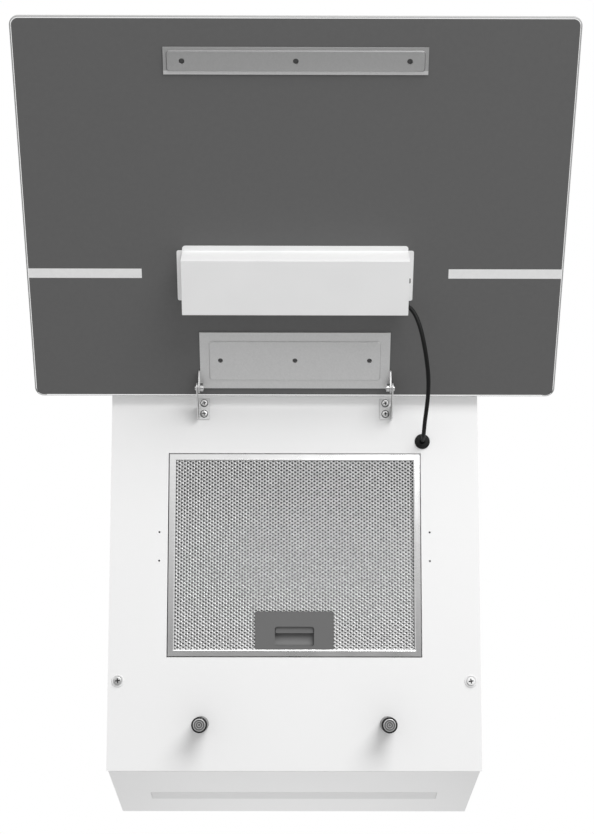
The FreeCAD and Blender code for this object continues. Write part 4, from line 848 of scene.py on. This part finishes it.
class HOOD_OT_filter_mesh(bpy.types.Operator):
    """Stretch the layers of expanded metal across the filter"""
    bl_idname = "hood.filter_mesh"
    bl_label = "Filter Mesh"

    def execute(self, context):
        sizes = context.scene.hood_sizes
        low, high = local_box("front_mesh", PANEL)
        plate = local_box("handle_plate", PANEL)[1]

        def beside_handle(x, y):
            return y > plate.y or abs(x) > plate.x

        # The second layer lies a little behind, shifted and stretched, so that the two beat; its darker foil
        # is painted shade
        half_gap = 0.7 * MM
        shifted = low + Vector((sizes.mesh_across * 0.57, 0, 0))
        for name, corner, stretch, level, finish, join in (
                ("front_expanded_mesh", low, 1.0, high.z + half_gap, "mesh", stand_for),
                ("second_expanded_mesh", shifted, 1.011, high.z - half_gap, "mesh_behind_shaded", go_with)):
            layer = mesh_sheet(
                corner, high, sizes.mesh_across, sizes.mesh_up * stretch, sizes.mesh_strand,
                sizes.mesh_foil, beside_handle)
            place = PANEL @ Matrix.Translation((0, 0, level))
            join(make_piece(name, layer, place, finish, sharper=math.radians(60)), "front_mesh")
        # The pack behind the mesh is near black: painted shade in the depth of the filter
        paint("filter_core", "core")
        paint("rear_mesh", "mesh")
        return {"FINISHED"}


class HOOD_OT_filter_handle(bpy.types.Operator):
    """Mould the handle plate with its scoop and the latch in it"""
    bl_idname = "hood.filter_handle"
    bl_label = "Filter Handle"

    def execute(self, context):
        sizes = context.scene.hood_sizes
        rounded_copy("handle_plate", sizes.fine_edge / 2, "handle")
        rounded_copy("latch_slide", sizes.fine_edge, "handle", segments=3)
        half_cup, cup_low, cup_high, cup_floor = 22.4 * MM, 139.8 * MM, 162.0 * MM, -7.8 * MM
        face, window_back = 0.6 * MM, -0.6 * MM
        bar_low, lip_level = 154.7 * MM, -1.6 * MM
        reach = bar_low - cup_low
        drop = cup_floor + 2.0 * MM
        quarter = [
            (cup_low + reach * (1 - math.cos(turn)), lip_level + drop * math.sin(turn))
            for turn in QUARTER_TURN]
        scoop = outline_sheet([(cup_low, cup_floor), *quarter, (bar_low, cup_floor)], {}, 2 * half_cup)
        # The outline is stood up: its X runs up the panel, its Y out of it, its thickness across
        scoop.transform(Matrix(((0, 0, 1, -half_cup), (1, 0, 0, 0), (0, 1, 0, 0), (0, 0, 0, 1))))
        for side in (-1, 1):
            for spot, flip, back in ((cup_low, 1, cup_floor), (cup_high, -1, window_back)):
                fillet = self.fillet(sizes.scoop_corner, face - back)
                fillet.transform(Matrix.Diagonal((-side, flip, 1, 1)))
                bmesh.ops.recalc_face_normals(fillet, faces=fillet.faces)
                add_to(scoop, fillet, Matrix.Translation((side * half_cup, spot, back)))
        go_with(make_piece("finger_scoop", scoop, PANEL, "handle"), "handle_plate")
        return {"FINISHED"}

    def fillet(self, radius, depth):
        """The filling of an inside corner, between its two sides and a quarter round."""
        quarter = [(radius * (1 - math.sin(turn)), radius * (1 - math.cos(turn))) for turn in QUARTER_TURN]
        return outline_sheet([(0, 0), *quarter], {}, depth)


def solids_of(node):
    """Lowest and highest corners of the separate solids of a CAD node, in panel axes."""
    mesh = merged(node)
    inverse = PANEL.inverted()
    left = set(mesh.verts)
    boxes = []
    while left:
        island = [left.pop()]
        for vert in island:
            for edge in vert.link_edges:
                other = edge.other_vert(vert)
                if other in left:
                    left.remove(other)
                    island.append(other)
        boxes.append(corners_of([inverse @ vert.co for vert in island]))
    mesh.free()
    return sorted(boxes, key=lambda box: tuple(box[0]))


def rounds_at(node, shape):
    """One mesh with a round for each solid of a node, shaped from the solid's box."""
    mesh = bmesh.new()
    for low, high in solids_of(node):
        middle = (low + high) / 2
        add_to(mesh, shape(low, high), Matrix.Translation((middle.x, middle.y, 0)))
    return mesh


class HOOD_OT_studs(bpy.types.Operator):
    """Turn the door studs: barrel, rubber ring and grooved face"""
    bl_idname = "hood.studs"
    bl_label = "Studs"

    def execute(self, context):
        for node, shape, *finishes in (
                ("stud_barrels", self.barrel, "barrel"), ("stud_rings", self.ring, "stud_rubber"),
                ("stud_magnets", self.magnet, "magnet", "turned_groove")):
            stand_for(make_piece(node + "_turned", rounds_at(node, shape), PANEL, *finishes), node)
        paint("stud_nuts", "steel")
        return {"FINISHED"}

    def barrel(self, low, high):
        """A nylon barrel, wider than its plain solid, with a foot, a neck for the ring, and its bolt."""
        radius = 1.14 * (high.x - low.x) / 2
        foot = 0.6 * MM
        neck = radius * 0.78
        shoulder = high.z - 3.0 * MM
        bolt = radius * 0.26
        top = high.z - 0.1 * MM
        return lathe([
            (0, low.z), (bolt, low.z), (bolt, 0), (radius - foot, 0), (radius, foot),
            (radius, shoulder - foot), (radius - foot, shoulder), (neck, shoulder), (neck, top), (0, top)])

    def ring(self, low, high):
        """A rubber ring with soft edges."""
        radius = (high.x - low.x) / 2
        bore = radius * 0.79
        base, top = low.z, high.z
        soft = 0.7 * MM
        return lathe([
            (bore, base), (radius - soft, base), (radius, base + soft), (radius, top - soft),
            (radius - soft * 0.3, top - soft * 0.3), (radius - soft, top), (bore, top), (bore, base)])

    def magnet(self, low, high):
        """A face, wider than its plain solid, with turned ridges over grooves in painted shade."""
        radius = 1.06 * (high.x - low.x) / 2
        top = high.z
        groove = bpy.context.scene.hood_sizes.stud_groove
        profile = [(0, low.z), (radius, low.z), (radius, top - 0.1 * MM)]
        ridges = 3
        pitch = radius / ridges
        for i in range(ridges):
            outer = radius - i * pitch
            profile += [
                (outer - 0.1 * pitch, top), (outer - 0.42 * pitch, top),
                (outer - 0.5 * pitch, top - groove), (outer - 0.92 * pitch, top - groove)]
        profile.append((0, top - groove * 0.4))
        turned = lathe(profile)
        for face in turned.faces:
            # Groove floors take the darker steel: painted shade
            face.material_index = int(face.calc_center_median().z < top - groove * 0.3)
        return turned


def pan_screw(radius, low, seat, height, collar):
    """A screw in one round: a plain shank, a thin collar and a flat domed head, with painted shadow on the
    collar and the head's side.
    """
    shank = radius * 0.46
    side = seat + height * 0.6
    thin = 0.2 * MM
    profile = [
        (0, low), (shank, low), (shank, seat), (collar, seat), (collar, seat + thin),
        (radius, seat + thin * 1.05), (radius, side)]
    for i in range(1, 5):
        turn = math.radians(90) * i / 5
        profile.append((radius * math.cos(turn) ** 0.4, side + (seat + height - side) * math.sin(turn)))
    profile.append((0, seat + height))
    screw = lathe(profile, 32)
    for face in screw.faces:
        # Collar and head side take the near-black third finish: a painted shadow ring round the head
        face.material_index = 2 * int(seat < face.calc_center_median().z < side)
    return screw


def screws_of(name, node, radius, height, seat, collar, finishes):
    """Pan-head screws in the places of a CAD node's screws, left ones in the first finish."""
    mesh = bmesh.new()
    spots = []
    for low, high in solids_of(node):
        middle = (low + high) / 2
        spots.append(middle)
        screw = pan_screw(radius, low.z, seat, height, collar)
        for face in screw.faces:
            face.material_index = face.material_index or int(middle.x > 0)
        add_to(mesh, screw, Matrix.Translation((middle.x, middle.y, 0)))
    piece = make_piece(name, mesh, None, *finishes, "groove")
    long, wide = radius * 0.6, radius * 0.15
    quarter = [(long, -wide), (long, wide), (wide, wide)]
    cross = []
    for _ in range(4):
        cross += quarter
        quarter = [(-y, x) for x, y in quarter]
    # Each cross recess is cut with its faces in the near-black finish: painted shade in the recess
    for middle in spots:
        at = Matrix.Translation((middle.x, middle.y, seat + height * 0.25))
        blade = outline_sheet(cross, {}, 2 * height)
        carve(piece, blade, at @ Matrix.Rotation(math.radians(8), 4, "Z"), slot=2)
    smooth_shade(piece.data)
    piece.data.transform(PANEL)
    return stand_for(piece, node)


class HOOD_OT_fasteners(bpy.types.Operator):
    """Set the screws and washers of the front panel"""
    bl_idname = "hood.fasteners"
    bl_label = "Fasteners"

    def execute(self, context):
        head_top = local_box("panel_screws", PANEL)[1].z
        seat = local_box("panel_washers", PANEL)[1].z
        screws_of(
            "panel_pan_screws", "panel_screws", radius=4.6 * MM, height=head_top - seat, seat=seat,
            collar=4.62 * MM, finishes=("screw_zinc", "casing"))
        washers = rounds_at("panel_washers", self.washer)
        stand_for(make_piece("flat_washers", washers, PANEL, "casing"), "panel_washers")
        return {"FINISHED"}

    def washer(self, low, high):
        """A washer with a soft rim and a dished middle, clear of the panel at its edge."""
        outer = (high.x - low.x) / 2
        bore = outer * 0.32
        rim = 0.5 * MM
        dish = high.z * 0.6
        return lathe([
            (bore, 0), (outer - rim, 0), (outer - rim, rim * 0.7), (outer, rim),
            (outer, high.z - rim * 0.8), (outer - rim, high.z), (outer * 0.74, high.z),
            (outer * 0.62, dish), (bore, dish), (bore, 0)])


class HOOD_OT_hinges(bpy.types.Operator):
    """Finish the hinge brackets, their screws and the pivots"""
    bl_idname = "hood.hinges"
    bl_label = "Hinges"

    def execute(self, context):
        sizes = context.scene.hood_sizes
        for node in ("hinge_bracket_left", "hinge_bracket_right"):
            bracket = rounded_copy(node, sizes.fine_edge, "bracket", "bracket_side")
            # Faces that look across take the darker zinc: painted shade on the brackets' sides
            for face in bracket.data.polygons:
                shaded_side = abs(face.normal.x) > 0.6
                face.material_index = int(shaded_side)
        head_top = local_box("bracket_screws", PANEL)[1].z
        seat = 1.5 * MM
        screws_of(
            "bracket_pan_screws", "bracket_screws", radius=3.7 * MM, height=head_top - seat, seat=seat,
            collar=4.5 * MM, finishes=("bright_screw", "bright_screw"))
        for node in ("pivot_bolts", "pivot_nuts", "pivot_spacers"):
            rounded_copy(node, sizes.fine_edge, "steel")
        return {"FINISHED"}


class HOOD_OT_cable(bpy.types.Operator):
    """Hang the control cable and mould its grommet"""
    bl_idname = "hood.cable"
    bl_label = "Cable"

    def execute(self, context):
        self.grommet()
        path, tube = self.tube()
        lead = new_object("control_lead", tube)
        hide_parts("control_cable")
        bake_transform(lead)
        return {"FINISHED"}

    def grommet(self):
        """A rubber grommet, snapped into the panel's hole by the groove round its neck."""
        low, high = local_box("cable_grommet", PANEL)
        middle = (low + high) / 2
        outer = (high.x - low.x) / 2
        bore = CABLE_DIAMETER / 2 + 0.3 * MM
        neck = outer * 0.68
        flange = outer - 1.0 * MM
        sheet_back = -1.6 * MM
        soft = 0.5 * MM
        ring = lathe([
            (bore, low.z), (flange, low.z), (flange, sheet_back), (neck, sheet_back), (neck, 0),
            (outer - 0.6 * soft, 0), (outer, soft), (outer - 0.4 * soft, high.z * 0.45),
            (outer - 2.8 * soft, high.z * 0.85), (neck, high.z), (bore + soft, high.z),
            (bore, high.z - soft), (bore, low.z)])
        place = PANEL @ Matrix.Translation((middle.x, middle.y, 0))
        stand_for(make_piece("rubber_grommet", ring, place, "rubber"), "cable_grommet")

    def tube(self):
        """The points of the lead's centreline and its mesh, from one smooth spline."""
        curve = bpy.data.curves.new("lead_line", "CURVE")
        curve.dimensions = "3D"
        curve.resolution_u = 12
        spline = curve.splines.new("NURBS")
        spline.points.add(len(CABLE_ROUTE) - 1)
        for point, spot in zip(spline.points, CABLE_ROUTE):
            point.co = (*(PANEL @ Vector(spot)), 1)
        spline.order_u = 3
        spline.use_endpoint_u = True
        line = new_object("lead_line", curve)
        bpy.context.view_layer.update()
        centre = bpy.data.meshes.new_from_object(line)
        path = [tuple(vert.co) for vert in centre.vertices]
        curve.bevel_depth = CABLE_DIAMETER / 2
        curve.bevel_resolution = 5
        curve.use_fill_caps = True
        bpy.context.view_layer.update()
        tube = bpy.data.meshes.new_from_object(line)
        tube.polygons.foreach_set("use_smooth", [True] * len(tube.polygons))
        tube.materials.clear()
        tube.materials.append(FINISHES["cable"])
        bpy.data.objects.remove(line)
        bpy.data.meshes.remove(centre)
        bpy.data.curves.remove(curve)
        return path, tube


class HOOD_OT_air_path(bpy.types.Operator):
    """Finish the fan, its scroll, the duct collar and the flaps"""
    bl_idname = "hood.air_path"
    bl_label = "Air Path"

    def execute(self, context):
        sizes = context.scene.hood_sizes
        for node in ("outlet_collar", "damper_flap_front", "damper_flap_rear"):
            rounded_copy(node, sizes.fine_edge, "fan")
        for node in ("scroll_housing", "scroll_cover", "inlet_ring", "impeller"):
            paint(node, "fan")
        paint("fan_motor", "motor")
        for node in ("fan_shaft", "motor_screws", "damper_axle"):
            paint(node, "steel")
        return {"FINISHED"}


class HOOD_OT_electrics(bpy.types.Operator):
    """Finish the power case and what it holds"""
    bl_idname = "hood.electrics"
    bl_label = "Electrics"

    def execute(self, context):
        sizes = context.scene.hood_sizes
        rounded_copy("mains_gland", sizes.fine_edge, "nylon")
        for node in ("power_case", "power_case_lid"):
            paint(node, "zinc")
        for node in ("terminal_block", "motor_capacitor", "gland_nut"):
            paint(node, "nylon")
        paint("led_driver", "control")
        return {"FINISHED"}


class HOOD_OT_stage(bpy.types.Operator):
    """Set the camera, the lamps, the pale floor and the white surroundings"""
    bl_idname = "hood.stage"
    bl_label = "Stage"

    def execute(self, context):
        self.camera(context)
        self.floor()
        self.world(context)
        self.lamp("window", place=(1.15, -3.0, 1.5), target=(0.0, -0.3, 0.0), size=2.3, power=80.0)
        self.lamp("wall_bounce", place=(0.0, 0.2, -0.52), target=(0.0, -0.03, -0.27), size=0.6, power=0.45)
        context.scene.view_settings.view_transform = "Standard"
        return {"FINISHED"}

    def camera(self, context):
        """Fitted to the photograph: low in front, looking up."""
        data = bpy.data.cameras.new("camera")
        focal_pixels = 1731.0
        data.sensor_fit = "AUTO"
        data.sensor_width = 36.0
        data.lens = focal_pixels / PHOTO_HIGH * data.sensor_width
        data.clip_start = 0.05
        data.clip_end = 50.0
        camera = new_object("camera", data)
        camera.location = (-0.0046, -2.1284, -0.7126)
        camera.rotation_euler = (math.radians(90 + 26.015), 0, math.radians(-0.228))
        context.scene.camera = camera

    def floor(self):
        """A level pale sheet under the object."""
        mesh = bmesh.new()
        bmesh.ops.create_grid(mesh, x_segments=1, y_segments=1, size=1.4)
        FINISHES["paper"] = toned(
            "pale_floor_paper", linear("e6e6e6"), linear("eaeaea"), (667, 1.0), None, {"Roughness": 0.9})
        make_piece("floor", mesh, Matrix.Translation((0, -0.2, -1.7)), "paper")

    def world(self, context):
        """White to the eye, softer on the surfaces, and darker low down where they mirror it."""
        world = bpy.data.worlds.new("studio")
        world.use_nodes = True
        tree = world.node_tree
        tree.nodes.clear()
        rays = add_node(tree, "ShaderNodeLightPath")
        heading = add_node(tree, "ShaderNodeTexCoord")
        height = add_node(tree, "ShaderNodeSeparateXYZ", {"Vector": heading.outputs["Generated"]})
        room = add_node(tree, "ShaderNodeMapRange", {
            "Value": height.outputs["Z"], "From Min": -0.66, "From Max": 0.02, "To Min": 0.14, "To Max": 1.0})
        mirrored = add_node(
            tree, "ShaderNodeMix",
            {"Factor": rays.outputs["Is Glossy Ray"], "A": 0.60, "B": room.outputs["Result"]})
        seen = add_node(
            tree, "ShaderNodeMath",
            {0: rays.outputs["Is Camera Ray"], 1: rays.outputs["Is Transmission Ray"]}, operation="MAXIMUM")
        strength = add_node(
            tree, "ShaderNodeMix", {"Factor": seen.outputs[0], "A": mirrored.outputs[0], "B": 1.0})
        light = add_node(
            tree, "ShaderNodeBackground", {"Color": (1, 1, 1, 1), "Strength": strength.outputs[0]})
        add_node(tree, "ShaderNodeOutputWorld", {"Surface": light.outputs[0]})
        context.scene.world = world

    def lamp(self, name, place, target, size, power):
        """A round soft lamp, turned to a target."""
        data = bpy.data.lights.new(name, "AREA")
        data.shape = "DISK"
        data.size = size
        data.energy = power
        lamp = new_object(name, data)
        lamp.location = place
        lamp.rotation_euler = (Vector(target) - Vector(place)).to_track_quat("-Z", "Y").to_euler()


class HOOD_PT_sidebar(bpy.types.Panel):
    """Lists the pieces of the hood"""
    bl_idname = "HOOD_PT_sidebar"
    bl_label = "Wall Hood"
    bl_space_type = "VIEW_3D"
    bl_region_type = "UI"
    bl_category = "Hood"

    def draw(self, context):
        for group in (context.scene.hood_sizes, context.scene.hood_colours):
            for name in group.__annotations__:
                self.layout.prop(group, name)
        for operator in OPERATORS:
            self.layout.operator(operator.bl_idname)


OPERATORS = (
    HOOD_OT_stage,
    HOOD_OT_cable,
    HOOD_OT_casing,
    HOOD_OT_lamp,
    HOOD_OT_glass_door,
    HOOD_OT_door_plates,
    HOOD_OT_control_box,
    HOOD_OT_filter_frame,
    HOOD_OT_filter_mesh,
    HOOD_OT_filter_handle,
    HOOD_OT_studs,
    HOOD_OT_fasteners,
    HOOD_OT_hinges,
    HOOD_OT_air_path,
    HOOD_OT_electrics,
)
CLASSES = (HoodSizes, HoodColours, *OPERATORS, HOOD_PT_sidebar)


def register():
    for cls in CLASSES:
        bpy.utils.register_class(cls)
    bpy.types.Scene.hood_sizes = PointerProperty(type=HoodSizes)
    bpy.types.Scene.hood_colours = PointerProperty(type=HoodColours)


def unregister():
    del bpy.types.Scene.hood_colours
    del bpy.types.Scene.hood_sizes
    for cls in reversed(CLASSES):
        bpy.utils.unregister_class(cls)


def main():
    """Dress the frame."""
    register()
    make_finishes()
    for operator in OPERATORS:
        group, name = operator.bl_idname.split(".")
        getattr(getattr(bpy.ops, group), name)()


if __name__ == "__main__":
    main()
